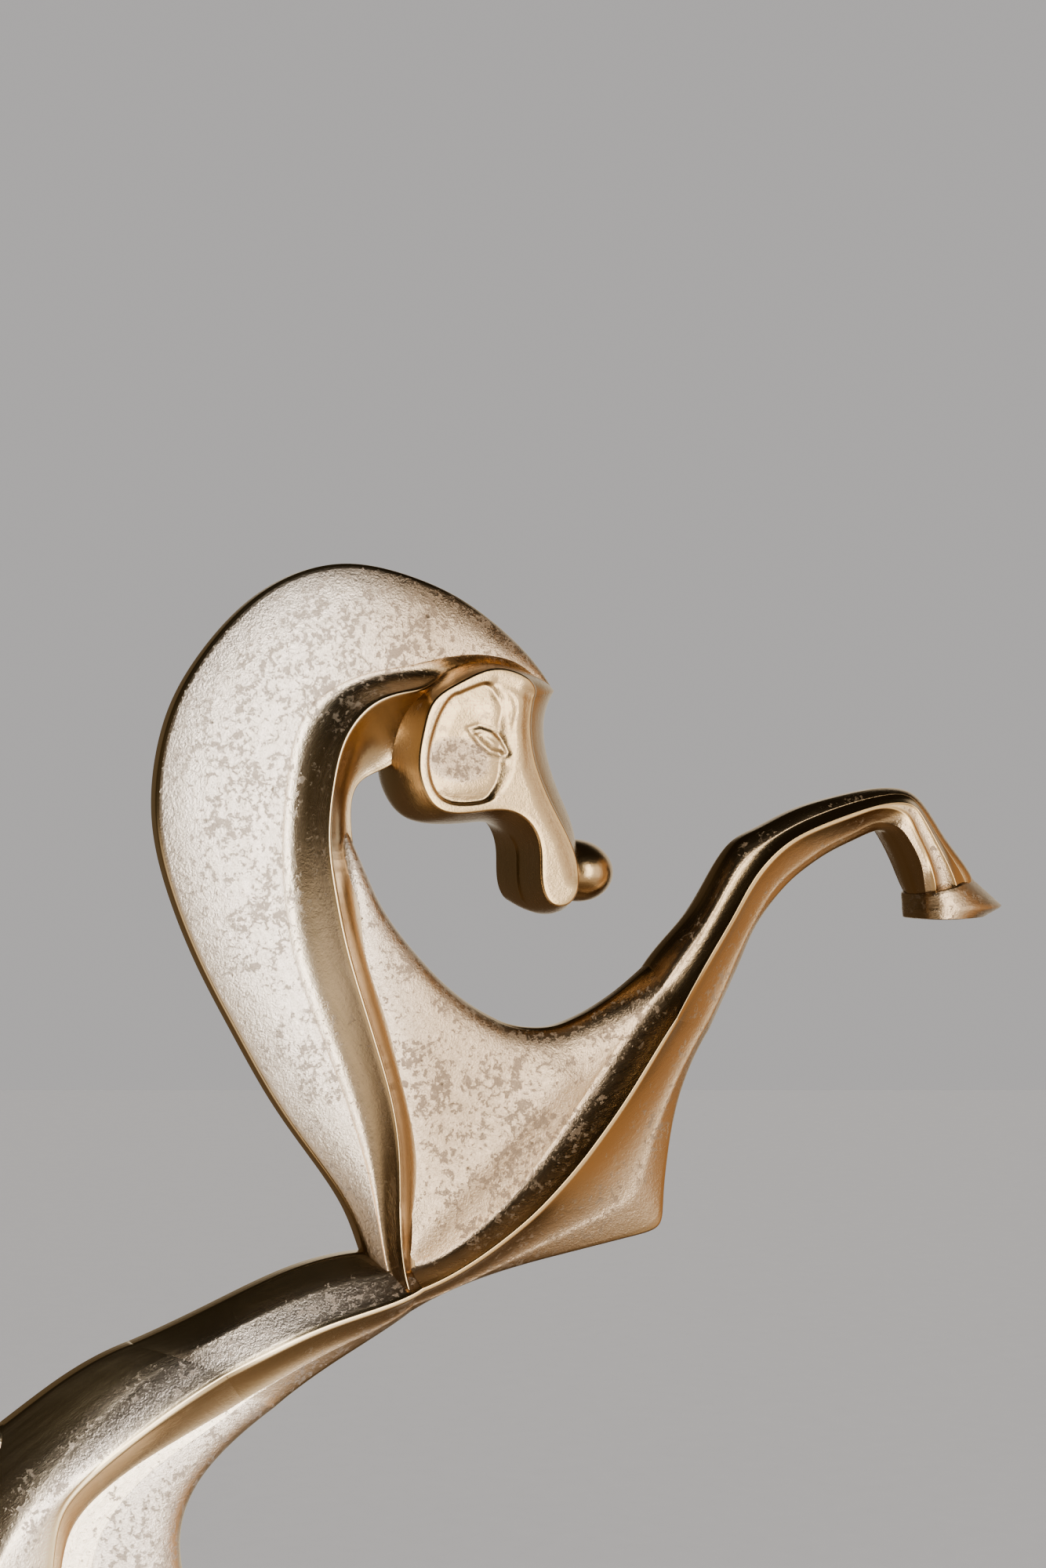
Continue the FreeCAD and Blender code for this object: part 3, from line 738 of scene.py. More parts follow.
@dataclass(frozen=True)
class CastMetal:
    """Champagne-gold cast aluminium: burnished on the edges, rough on the plates.

    Args:
        name: the material's name.
        polished: colour where it is burnished.
        skin: colour of the rough plates.
        oxide: colour of the oxide islands.
        pit: colour in the pits.
        foreleg_darkening: tint multiplied in from the breast toward the raised foreleg.
        streak: colour of the burnishing streaks.
        foreleg_darkening_reach: x in metres where the darkening begins and where it is full.
        smooth: shader roughness where it is burnished.
        coarse: shader roughness of the plates.
        relief: depth of the cast grain's bump, in metres.
    """

    name: str = "champagne_casting"
    polished: Colour = (0.80, 0.62, 0.37, 1.0)
    skin: Colour = (0.90, 0.77, 0.64, 1.0)
    oxide: Colour = (0.56, 0.45, 0.35, 1.0)
    pit: Colour = (0.10, 0.07, 0.04, 1.0)
    foreleg_darkening: Colour = (0.50, 0.40, 0.27, 1.0)
    streak: Colour = (0.62, 0.50, 0.32, 1.0)
    foreleg_darkening_reach: tuple[float, float] = (0.032, 0.085)
    smooth: float = 0.19
    coarse: float = 0.31
    relief: float = 0.0006

    def build(self, skin: bpy.types.NodeTree, burnish: bpy.types.NodeTree) -> bpy.types.Material:
        """Makes the material.

        Args:
            skin: the cast skin's group.
            burnish: the burnishing's group.
        Returns:
            The material.
        """
        material, tree, where = new_material(self.name)
        rough = tree.add("ShaderNodeAttribute", attribute_name="rough").outputs["Fac"]
        flow = tree.add("ShaderNodeUVMap", uv_map="flow").outputs["UV"]
        cast = use_group(tree, skin, {"Vector": where, "Rough": rough})
        streaks = use_group(tree, burnish, {"Vector": flow})
        body = tree.mix(tree.band(rough, 0.15, 0.75), self.polished, self.skin)
        body = tree.mix(tree.math("MULTIPLY", streaks.outputs["Streak"], 0.16), body,
                        self.streak)
        body = tree.mix(cast.outputs["Oxide"], body, self.oxide)
        body = tree.mix(cast.outputs["Pits"], body, self.pit)
        forward = tree.add("ShaderNodeSeparateXYZ", {0: where}).outputs["X"]
        # Darker tint multiplied into the colour, growing with object x toward the raised foreleg.
        foreleg_darkening = tree.band(forward, *self.foreleg_darkening_reach, 0.0, 0.85)
        body = tree.mix(foreleg_darkening, body, self.foreleg_darkening, "MULTIPLY")
        gloss = tree.math("MULTIPLY_ADD", tree.band(rough, 0.1, 0.9), self.coarse - self.smooth,
                          self.smooth)
        gloss = tree.math("ADD", gloss, tree.math("MULTIPLY", cast.outputs["Oxide"], 0.12))
        gloss = tree.math("ADD", gloss, tree.math("MULTIPLY", streaks.outputs["Streak"], 0.06))
        bump = tree.add("ShaderNodeBump", {"Strength": 0.9, "Distance": self.relief,
                                           "Height": cast.outputs["Height"]})
        lines = tree.add("ShaderNodeBump", {"Strength": 0.35, "Distance": 0.00006,
                                            "Height": streaks.outputs["Height"],
                                            "Normal": bump.outputs[0]})
        shader = tree.add("ShaderNodeBsdfPrincipled", {
            "Base Color": body, "Roughness": gloss, "Normal": lines.outputs[0],
            "Metallic": tree.band(cast.outputs["Oxide"], 0.0, 1.0, 1.0, 0.52)})
        show(tree, shader)
        return material


@dataclass(frozen=True)
class BrushedSteel:
    """Zinc-bright steel with fine turned marks."""

    name: str = "steel"
    colour: Colour = (0.56, 0.57, 0.58, 1.0)
    dull: Colour = (0.36, 0.36, 0.35, 1.0)

    def build(self) -> bpy.types.Material:
        """Makes the material.

        Returns:
            The material.
        """
        material, tree, where = new_material(self.name)
        marks = tree.noise(tree.stretched(where, (1.0, 1.0, 14.0)), 700.0, 2.0)
        stains = tree.noise(where, 120.0, 4.0)
        body = tree.mix(tree.band(stains, 0.42, 0.7), self.colour, self.dull)
        bump = tree.add("ShaderNodeBump", {"Strength": 0.5, "Distance": 0.00004, "Height": marks})
        shader = tree.add("ShaderNodeBsdfPrincipled", {
            "Base Color": body, "Metallic": 1.0,
            "Roughness": tree.band(marks, 0.3, 0.7, 0.24, 0.42), "Normal": bump.outputs[0]})
        show(tree, shader)
        return material


@dataclass(frozen=True)
class PolishedStone:
    """Near-black polished stone with pale veins."""

    name: str = "stone"
    ground: Colour = (0.012, 0.012, 0.013, 1.0)
    cloud: Colour = (0.045, 0.042, 0.04, 1.0)
    vein: Colour = (0.42, 0.38, 0.32, 1.0)

    def build(self) -> bpy.types.Material:
        """Makes the material.

        Returns:
            The material.
        """
        material, tree, where = new_material(self.name)
        warp = tree.add("ShaderNodeTexNoise", {"Vector": where, "Scale": 9.0, "Detail": 4.0})
        bent = tree.add("ShaderNodeVectorMath", {0: where, 1: warp.outputs["Color"],
                                                 2: (0.05, 0.05, 0.05)}, operation="MULTIPLY_ADD")
        cells = tree.add("ShaderNodeTexVoronoi", {"Vector": bent.outputs[0], "Scale": 14.0},
                         feature="DISTANCE_TO_EDGE")
        thin = tree.band(cells.outputs["Distance"], 0.022, 0.0)
        strength = tree.band(tree.noise(where, 22.0, 3.0), 0.45, 0.72)
        cloud = tree.band(tree.noise(bent.outputs[0], 30.0, 5.0), 0.4, 0.75)
        crystals = tree.band(tree.noise(where, 900.0, 2.0), 0.62, 0.8)
        body = tree.mix(cloud, self.ground, self.cloud)
        body = tree.mix(tree.math("MULTIPLY", crystals, 0.25), body, self.vein)
        body = tree.mix(tree.math("MULTIPLY", thin, strength), body, self.vein)
        shader = tree.add("ShaderNodeBsdfPrincipled", {
            "Base Color": body, "Roughness": tree.band(cloud, 0.0, 1.0, 0.10, 0.17),
            "IOR": 1.52, "Coat Weight": 0.3, "Coat Roughness": 0.06})
        show(tree, shader)
        return material


@dataclass(frozen=True)
class PressedFelt:
    """Dark green pressed wool."""

    name: str = "felt"
    shade: Colour = (0.018, 0.028, 0.022, 1.0)
    fibre: Colour = (0.055, 0.075, 0.06, 1.0)

    def build(self) -> bpy.types.Material:
        """Makes the material.

        Returns:
            The material.
        """
        material, tree, where = new_material(self.name)
        tufts = tree.noise(where, 900.0, 4.0, 0.7, 1.5)
        mats = tree.noise(where, 90.0, 3.0)
        body = tree.mix(tree.band(tufts, 0.4, 0.65), self.shade, self.fibre)
        body = tree.mix(tree.math("MULTIPLY", mats, 0.4), body, self.shade)
        bump = tree.add("ShaderNodeBump", {"Strength": 0.8, "Distance": 0.0002, "Height": tufts})
        shader = tree.add("ShaderNodeBsdfPrincipled", {
            "Base Color": body, "Roughness": 0.95, "Sheen Weight": 0.4, "Normal": bump.outputs[0]})
        show(tree, shader)
        return material


# ------------------------------------------------------------------ cast skin in the mesh
def new_mesh_group(name: str,
                   inputs: dict[str, str]) -> tuple[Tree, bpy.types.Node, bpy.types.Node]:
    """Starts a geometry node group that takes a mesh and gives one back.

    Args:
        name: the group's name.
        inputs: socket kind of each further input.
    Returns:
        The tree, its input node and its output node.
    """
    group = bpy.data.node_groups.new(name, "GeometryNodeTree")
    for label, kind in {"Geometry": GEOMETRY, **inputs}.items():
        group.interface.new_socket(label, in_out="INPUT", socket_type=kind)
    group.interface.new_socket("Geometry", in_out="OUTPUT", socket_type=GEOMETRY)
    return Tree(group), group.nodes.new("NodeGroupInput"), group.nodes.new("NodeGroupOutput")


def skin_tree() -> bpy.types.NodeTree:
    """Geometry nodes that wander the surface of a casting along its normals.

    Returns:
        A group with the inputs Grain Depth, Wave Depth, Seed and Metal.
    """
    tree, start, end = new_mesh_group("cast_surface", {
        "Grain Depth": VALUE, "Wave Depth": VALUE, "Seed": VALUE, "Metal": METAL})
    place = tree.add("GeometryNodeInputPosition").outputs[0]
    normal = tree.add("GeometryNodeInputNormal").outputs[0]
    layers = []
    for scale, depth, mask in ((420.0, "Grain Depth", "rough"), (52.0, "Wave Depth", "free")):
        noise = tree.add("ShaderNodeTexNoise", {"Vector": place, "W": start.outputs["Seed"],
                                                "Scale": scale, "Detail": 3.0},
                         noise_dimensions="4D")
        masked = tree.add("GeometryNodeInputNamedAttribute", {"Name": mask}, data_type="FLOAT")
        free = tree.add("GeometryNodeInputNamedAttribute", {"Name": "free"}, data_type="FLOAT")
        centred = tree.math("SUBTRACT", noise.outputs[0], 0.5)
        value = tree.math("MULTIPLY", centred, start.outputs[depth])
        value = tree.math("MULTIPLY", value, masked.outputs[0])
        layers.append(tree.math("MULTIPLY", value, free.outputs[0]))
    total = tree.math("ADD", *layers)
    offset = tree.add("ShaderNodeVectorMath", {0: normal, "Scale": total}, operation="SCALE")
    moved = tree.add("GeometryNodeSetPosition", {"Geometry": start.outputs["Geometry"],
                                                 "Offset": offset.outputs[0]})
    painted = tree.add("GeometryNodeSetMaterial", {"Geometry": moved.outputs[0],
                                                   "Material": start.outputs["Metal"]})
    tree.put(end.inputs["Geometry"], painted.outputs[0])
    return tree.tree


def settle(piece: bpy.types.Object, group: bpy.types.NodeTree, values: dict) -> None:
    """Runs geometry nodes on a piece and keeps their result as its mesh.

    Args:
        piece: the object, which keeps its name.
        group: the node group.
        values: value of each named input.
    """
    modifier = piece.modifiers.new("nodes", "NODES")
    modifier.node_group = group
    for item in group.interface.items_tree:
        if item.in_out == "INPUT" and item.name in values:
            modifier[item.identifier] = values[item.name]
    depsgraph = bpy.context.evaluated_depsgraph_get()
    mesh = bpy.data.meshes.new_from_object(piece.evaluated_get(depsgraph), depsgraph=depsgraph)
    piece.modifiers.clear()
    old, piece.data = piece.data, mesh
    bpy.data.meshes.remove(old)
    mesh.name = piece.name
    mesh.set_sharp_from_angle(angle=CREASE)


# ------------------------------------------------------------------ the castings
GRAIN_SEED = 4.0    # one seed for all, so that the grain runs on from casting to casting


@dataclass
class Casting:
    """One casting of the figure, which stands for the CAD node of the same name.

    Args:
        name: the CAD node.
        webs: its patches of rails.
        grain: depth of its cast grain in metres.
        wave: depth of its hand-finished waves in metres.
    """

    name: str
    webs: tuple[Web, ...] = ()
    grain: float = 0.00018
    wave: float = 0.0003
    piece: bpy.types.Object | None = field(default=None, init=False)

    def shape(self, relief: Relief) -> None:
        """Adds the casting's patches.

        Args:
            relief: where they are gathered.
        """
        for web in self.webs:
            web.lay(relief)

    def build(self) -> bpy.types.Object:
        """Makes the casting's mesh.

        Returns:
            Its object.
        """
        relief = Relief(self.name + "_casting")
        self.shape(relief)
        self.piece = relief.build()
        return self.piece

    def dress(self, skin: bpy.types.NodeTree, metal: bpy.types.Material) -> None:
        """Gives the casting its skin and metal, and puts it in the place of its CAD node.

        Args:
            skin: the geometry nodes of the cast surface.
            metal: its material.
        """
        settle(self.piece, skin, {"Grain Depth": self.grain, "Wave Depth": self.wave,
                                  "Seed": GRAIN_SEED, "Metal": metal})
        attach(self.piece, "root")
        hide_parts(self.name)
        LOG.info("%s: %d faces", self.piece.name, len(self.piece.data.polygons))


# Half thicknesses in mm: thin edges, the mane's rim, plates, and the ridges of neck, body and leg.
EDGE, RIM, PLATE, NECK, BODY, LEG = 2.5, 3.2, 8.0, 17.0, 16.0, 11.0
RIDGE_FLAT = (0.8, -1.3, -0.1)    # from a ridge to the lower border of its burnished flat, in mm
BURNISHED = (0.0, 0.0, 0.0)


def below_ridge(point: Point) -> Point:
    """The lower border of the narrow burnished flat along a ridge."""
    return tuple(value + step for value, step in zip(point, RIDGE_FLAT))


def rail(points: Sequence[tuple[float, float]], half: float) -> tuple[Point, ...]:
    """A rail of one half thickness."""
    return tuple((x, z, half) for x, z in points)


# The cuts between the castings, from the upper outline across the rails to the lower one.
FOREARM = ((158, 353, EDGE), (158.7, 346, 10), (161.8, 337.4, BODY), (162.5, 336.2, BODY - 0.5),
           (176.5, 333, 6), (179.7, 332, EDGE))
HAUNCH = ((-13, 243.2, 3), (0, 239, 9.5), (12.1, 234.3, BODY), (13, 233, BODY - 0.5),
          (20, 224.5, PLATE), (32, 220.5, EDGE))
PIT = (73.5, 263, PLATE)
FOLD = Swell(((75, 270), (83.5, 278.6), (94, 289.1), (104.6, 299.6), (115.2, 309.8),
              (124, 318)), 1.1, 6.0)


class Neck(Casting):
    """Mane plate, neck ridge and the wall round the throat."""

    OUTER = ((124.5, 441.9, 2.6), (117.3, 451.4, 3.0)) + rail(
        [(107.5, 460.4), (94.5, 469.4), (79, 476.2), (59, 480.4), (40, 477.4), (22, 466.3),
         (6, 447.5), (-3, 428), (-6, 404.5), (-1.7, 381.3), (7.5, 358), (18.5, 337),
         (30.5, 316), (42.5, 298.7), (54, 282), (60, 268), (64.5, 257)], RIM)
    SHOULDER = ((122.6, 441.6, 3.2), (112, 449.3, 6.5)) + rail(
        [(104, 451.9), (95, 452.6), (84, 451.2), (73, 448.8), (60, 446.3), (47, 440.5),
         (38, 430.5), (34, 414.5), (32.4, 395), (33, 377), (36.2, 358.5), (42.5, 340.3),
         (49.7, 322.5), (56, 305), (60.8, 288), (64.2, 271)], PLATE) + ((67, 257, 9),)
    RIDGE = ((121, 441.2, 3.6), (109.5, 446.7, 5), (102, 448.6, 5), (94.5, 448.8, 5.5),
             (86.5, 446, 7), (76.5, 441.8, 15)) + rail(
        [(68.5, 440), (59, 436.3), (50.6, 426.3), (46.6, 412), (45.1, 396), (46.8, 380),
         (50.4, 363), (55.3, 346.5), (60.6, 330), (65, 314.5), (67.4, 297), (67.8, 276)],
        NECK) + ((71, 256, 16.2),)
    INNER = ((120, 440.2, 3.0), (106, 441, 4.5), (100, 441, 4.5), (94, 440, 4.5), (88, 438, 4.5),
             (82, 433, 4.5), (76.5, 427, 4.5), (70.5, 419, 4.5), (62.5, 414.6, EDGE),
             (57.2, 408.5, EDGE), (56.7, 396, 3.0)) + rail(
        [(57.7, 379), (61, 360.5), (66.2, 343), (71.2, 326), (75.6, 309), (78, 293),
         (76.5, 274)], PLATE) + ((75.4, 257.5, 9),)

    def __init__(self) -> None:
        """Joins the rails above into one patch."""
        web = Web(rails=(self.OUTER, self.SHOULDER, self.RIDGE, self.INNER),
                  strips=(Strip(44, Rise.PLATE_UP, reach=(6.0, 30.0), sag=(-0.5, -0.5),
                                rough=(0.65, 0.78, 0.7)),
                          Strip(24, Rise.COVE, power=(1.5, 1.7), sag=(0.9, 1.1),
                                rough=(0.6, 0.35, 0.45)),
                          Strip(18, Rise.DOME, power=(1.4, 2.3), sag=(0.8, 0.0),
                                rough=(0.1, 0.25, 0.4))),
                  radii=(1.0, 0.0, 1.2, 0.5), span=(0, 18), steps=21)
        super().__init__("neck_and_mane", (web,))


class Breast(Casting):
    """Throat plate, the foot of the foreleg's ridge and the corner of the chest."""

    THROAT = rail([(55, 398), (59.7, 388), (66.8, 373.5), (77, 360), (89.5, 347.5), (104.6, 337.8),
                   (113, 335), (122, 334.4), (128.8, 335.7), (135, 338.1), (139, 340),
                   (142.6, 342), (147.6, 345.1), (152.8, 348.9)], EDGE) + FOREARM[:1]
    FOOT = ((53, 396, 3.0), (55, 378, PLATE), (61.5, 350, PLATE), (69.5, 320, PLATE),
            (74, 292, PLATE), PIT)
    VALLEY = (PIT, (88, 266.5, PLATE), (103, 277.5, PLATE), (113.7, 288.2, PLATE),
              (123, 299.5, PLATE), (128.5, 307, PLATE), (134, 314.3, PLATE), (142, 324.9, PLATE),
              (150.4, 336, 8.5), FOREARM[1])
    RIDGE = rail([(75, 256.4), (92, 263.8), (107, 273.4), (117.3, 281.8), (126, 290.4),
                  (131.5, 296.5), (136.8, 302.9), (144.5, 312.9), (153, 325.2)],
                 BODY) + FOREARM[2:3]
    CHEST = ((75.8, 249, 5), (98, 256.8, 5.5), (118, 265, 6), (136, 272, 6.3), (148, 277.5, 6.5),
             (153, 284, 6.5), (155.5, 291, 6.5), (160, 303, 6.5), (167.3, 318, 6.2), FOREARM[4])
    EDGE_LINE = rail([(76, 246.6), (103, 256.6), (130, 262), (149, 265.3), (158.6, 267.2),
                      (162.6, 270.6), (163.5, 280), (165.7, 297), (170.2, 314)], EDGE) + FOREARM[5:]

    def __init__(self) -> None:
        """Joins the rails above into the throat's top and the rest of the breast."""
        under = tuple(below_ridge(p) for p in self.RIDGE[:-1]) + FOREARM[3:4]
        plate = Strip(56, Rise.PLATE_UP, reach=(2.6, 9.0), sag=(-0.6, -0.6), rough=(0.7, 0.8, 0.6),
                      rough_end=(0.3, 0.6, 0.6))
        flat = Strip(56, Rise.PLATE_UP, reach=(2.6, 2.6), sag=(-0.6, -0.6), rough=(0.7, 0.8, 0.6))
        upper = Web(rails=(self.THROAT[:6], self.FOOT), strips=(flat,), radii=(0.9, 0.0),
                    span=(0, 5), steps=19, swells=(FOLD,))
        lower = Web(rails=(self.THROAT[5:], self.VALLEY, self.RIDGE, under, self.CHEST,
                           self.EDGE_LINE),
                    strips=(plate,
                            Strip(24, Rise.COVE, power=(1.7, 1.5), sag=(0.0, 0.5),
                                  rough=(0.7, 0.6, 0.35), rough_end=(0.6, 0.5, 0.3)),
                            Strip(3, rough=BURNISHED),
                            Strip(22, Rise.DOME, power=(1.7, 1.6), rough=(0.2, 0.6, 0.9),
                                  rough_end=(0.2, 0.45, 0.5)),
                            Strip(7, rough=(0.9, 0.8, 0.6), rough_end=(0.5, 0.4, 0.3))),
                    radii=(0.9, 0.0, 0.35, 0.5, 0.0, 0.9), span=(0, 9), steps=19,
                    swells=(FOLD,))
        super().__init__("breast", (upper, lower))


class Foreleg(Casting):
    """Raised foreleg from the forearm to the pastern."""

    TOP = FOREARM[:1] + rail(
        [(166, 362.2), (174.6, 371.4), (181.3, 382), (189, 392.6), (199, 398), (212, 403.8),
         (227, 407.9), (240, 410.3), (252, 410.2), (260, 404.6), (267, 394.9), (274.5, 385.8),
         (278, 380)], EDGE)
    CREST = FOREARM[1:2] + (
        (165, 354, 10.5), (173, 363.5, 9.5), (181, 375, 8.5), (189, 386.5, 8),
        (199.5, 394, 7.5), (212, 400, 7), (227, 405, 6.5), (239, 407.8, 6.5), (250.7, 408.2, 6.5),
        (257.7, 401.5, 7), (264, 392, 7.5), (270, 383.5, 8), (273, 378, 7.5))
    RIDGE = FOREARM[2:3] + (
        (168.5, 347.3, 14.5), (176, 358, 13), (184, 369.5, 12), (192.5, 382, LEG),
        (203, 392, LEG), (215, 398, LEG), (229, 402.7, LEG), (240, 405.4, LEG), (249.6, 405.4, LEG),
        (255, 400.5, LEG), (260.5, 391.6, LEG), (265.5, 382.5, LEG), (267.7, 376, 10.5))
    UNDER_RIDGE = FOREARM[3:4] + (
        (169.5, 346.2, 14), (177, 357, 12.7), (185, 368.5, 11.7), (193.4, 381, LEG),
        (203.7, 391, LEG), (215.5, 396.9, LEG), (229.3, 401.5, LEG), (239.5, 404, LEG),
        (248, 402, LEG), (252, 396, LEG), (256, 388.5, LEG), (258.8, 380.5, LEG), (260, 374.6, 9.5))
    LOW = FOREARM[4:5] + (
        (183.2, 345, 6), (189, 356.5, 5.5), (195, 367, 5), (203.5, 378.5, 4.5),
        (213.5, 386.2, 4.5), (222, 391.4, 4.5), (232, 395.7, 4.5), (239.5, 399, 6),
        (245.3, 398, 9.5), (249.5, 393.5, 10.5), (253.5, 386.5, 10.5), (256, 379.5, 9),
        (257.8, 374.3, 7))
    UNDER = FOREARM[5:] + rail(
        [(186.3, 344.8), (191.4, 355), (197, 365.8), (206.5, 377.2), (215, 384), (224, 389.3),
         (233, 393.2), (240, 395.9), (245.2, 396), (248.7, 392), (252.5, 385.5), (254.8, 379),
         (256.8, 374)], EDGE)

    def __init__(self) -> None:
        """Joins the rails above into one patch."""
        web = Web(rails=(self.TOP, self.CREST, self.RIDGE, self.UNDER_RIDGE, self.LOW, self.UNDER),
                  strips=(Strip(12, Rise.PLATE_UP, reach=(9.0, 3.0), sag=(-0.6, 0.0),
                                rough=(0.3, 0.6, 0.6), rough_end=(0.3, 0.3, 0.3)),
                          Strip(16, Rise.COVE, power=(1.5, 1.0), sag=(0.5, 0.5),
                                rough=(0.6, 0.4, 0.3), rough_end=(0.1, 0.1, 0.1)),
                          Strip(10, sag=(0.0, 2.4), rough=(0.0, 0.1, 0.0),
                                rough_end=(0.5, 0.8, 0.5)),
                          Strip(18, Rise.DOME, power=(1.6, 1.2), rough=(0.2, 0.45, 0.5),
                                rough_end=(0.2, 0.5, 0.5)),
                          Strip(6, rough=(0.5, 0.4, 0.3), rough_end=(0.3, 0.5, 0.3))),
                  radii=(0.9, 0.0, 0.35, 0.5, 0.0, 0.9), span=(0, 13), steps=20, polish=1.6)
        super().__init__("foreleg", (web,))


class Barrel(Casting):
    """Trunk between the breast and the haunch."""

    BACK = ((75, 262.5, 5), (61, 266.5, 3), (39, 263.1, 3), (15, 254.1, 3), HAUNCH[0])
    FLANK = ((75, 260, 9), (61.5, 260, 9), (41, 256, 9.5), (19, 248.5, 11), HAUNCH[1])
    RIDGE = ((75, 256.4, BODY), (62, 251.5, BODY), (44, 246.8, BODY), (27, 240.6, BODY), HAUNCH[2])
    BELLY = ((75.8, 249, 5), (64, 243, 6), (48.5, 237.5, 7), (33, 231, PLATE), HAUNCH[4])
    EDGE_LINE = ((76, 246.6, EDGE), (65, 240.1, EDGE), (52.7, 233.5, EDGE), (41.5, 227, EDGE),
                 HAUNCH[5])

    def __init__(self) -> None:
        """Joins the rails above into one patch."""
        under = tuple(below_ridge(p) for p in self.RIDGE[:-1]) + HAUNCH[3:4]
        web = Web(rails=(self.BACK, self.FLANK, self.RIDGE, under, self.BELLY, self.EDGE_LINE),
                  strips=(Strip(14, Rise.DOME, power=(1.0, 1.0), rough=(0.0, 0.2, 0.5)),
                          Strip(18, Rise.STRAIGHT, sag=(0.6, 0.0), rough=(0.5, 0.85, 0.5),
                                rough_end=(0.5, 0.8, 0.4)),
                          Strip(3, rough=BURNISHED),
                          Strip(20, Rise.DOME, power=(1.7, 1.4), rough=(0.2, 0.5, 0.7),
                                rough_end=(0.2, 0.2, 0.3)),
                          Strip(14, Rise.PLATE_DOWN, reach=(40.0, 4.0), rough=(0.8, 0.7, 0.5),
                                rough_end=(0.5, 0.6, 0.5))),
                  radii=(0.8, 0.0, 0.35, 0.5, 0.0, 0.9), span=(0, 4), steps=30)
        super().__init__("barrel", (web,))


class RearHindLeg(Casting):
    """Haunch and the hind leg below the tail."""

    BACK = (HAUNCH[0], (-32, 235, 3), (-50, 223.3, 3), (-67, 210.5, 3), (-80.5, 193, 3),
            (-86.5, 172, 3), (-86, 151, 3), (-79, 130, 3), (-70.5, 111.5, 3), (-65, 96, 3),
            (-61.5, 80, 3), (-57, 60, 3), (-51.5, 40, 3), (-45.5, 22, 4), (-42, 10, 5))
    CREST = (HAUNCH[1], (-17, 229, 10.5), (-34, 215, 13), (-48, 199, 16.5), (-58, 182, 18.5),
             (-63.5, 164, 19), (-65.5, 146, 18), (-64.5, 128, 16), (-61, 112, 13.5),
             (-58.5, 97, 11.5), (-55.5, 80, 9.5), (-50.5, 60, 9.5), (-45, 40, 9.5),
             (-38.5, 22, 10.5), (-34, 10, 11.5))
    RIDGE = (HAUNCH[2], (-4, 225.5, BODY), (-19, 215.7, BODY), (-32, 205.6, BODY),
             (-39.3, 194.5, BODY), (-41.5, 176, BODY), (-44.5, 157, 15.5), (-49.5, 138, 14.5),
             (-52, 119, 12), (-51.5, 101, 10), (-48, 83, 8.5), (-43.5, 62, 8.5), (-38, 42, 8.5),
             (-30, 24, 9.5), (-24, 10, 10.5))
    INNER = (HAUNCH[4], (4, 216.5, PLATE), (-12, 208.3, PLATE), (-25, 199.5, PLATE),
             (-33.5, 189, PLATE), (-36.5, 174, PLATE), (-39, 156, PLATE), (-43.5, 138, 7),
             (-47, 119.5, 5), (-47.3, 101, 4), (-44, 83, 3.5), (-39.5, 62, 3.5), (-34, 42, 3.5),
             (-25.5, 25, 4.5), (-18, 10, 5))

    def __init__(self) -> None:
        """Joins the rails above into one patch."""
        under = HAUNCH[3:4] + tuple(below_ridge(p) for p in self.RIDGE[1:])
        web = Web(rails=(self.BACK, self.CREST, self.RIDGE, under, self.INNER),
                  strips=(Strip(30, Rise.DOME, power=(1.0, 1.9), rough=(0.0, 0.2, 0.5),
                                rough_end=(0.3, 0.5, 0.5)),
                          Strip(22, Rise.STRAIGHT, sag=(0.0, -0.6), rough=(0.5, 0.8, 0.4),
                                rough_end=(0.5, 0.4, 0.2)),
                          Strip(3, rough=BURNISHED),
                          Strip(20, Rise.DOME, power=(1.4, 1.4), rough=(0.2, 0.3, 0.4))),
                  radii=(0.8, 0.0, 0.35, 0.5, 0.0), span=(0, 14), steps=20)
        super().__init__("rear_hind_leg", (web,))


class ForwardHindLeg(Casting):
    """Hind leg in lower relief, in front of the other one."""

    REAR = rail([(16, 225), (-4, 214), (-22, 205), (-37, 190), (-42, 170), (-45, 149)], 7.5) + (
        (-38.5, 129, 7), (-27, 112, 6), (-20.5, 97, 5.5), (-13, 79, 5), (-4, 58, 5), (5, 38, 5),
        (13.5, 20, 5.5), (18, 10, 6))
    FACE = rail([(22, 225), (3, 213), (-13, 202), (-25, 186), (-28, 168), (-29, 149), (-26, 130),
                 (-19, 113)], PLATE) + (
        (-13.5, 97, 7.5), (-6, 79, 7.5), (3, 58, 7.5), (12, 38, 7.5), (22, 20, 8.5), (29, 10, 9.5))
    FRONT = HAUNCH[5:] + rail(
        [(19.5, 211.7), (9.5, 202), (3.6, 191.5), (2, 179), (3.8, 163.5), (1.5, 147), (-4, 130),
         (-7, 112), (-5, 94), (2, 75), (13, 51)], EDGE) + ((25, 28, 4), (36, 10, 5))

    def __init__(self) -> None:
        """Joins the rails above into one patch."""
        web = Web(rails=(self.REAR, self.FACE, self.FRONT),
                  strips=(Strip(14, Rise.DOME, power=(1.3, 1.3), rough=(0.4, 0.5, 0.5)),
                          Strip(30, Rise.PLATE_DOWN, reach=(4.0, 4.0), sag=(0.0, -0.5),
                                rough=(0.7, 0.85, 0.6))),
                  radii=(0.8, 0.0, 0.9), span=(0, 13), steps=20)
        super().__init__("forward_hind_leg", (web,))


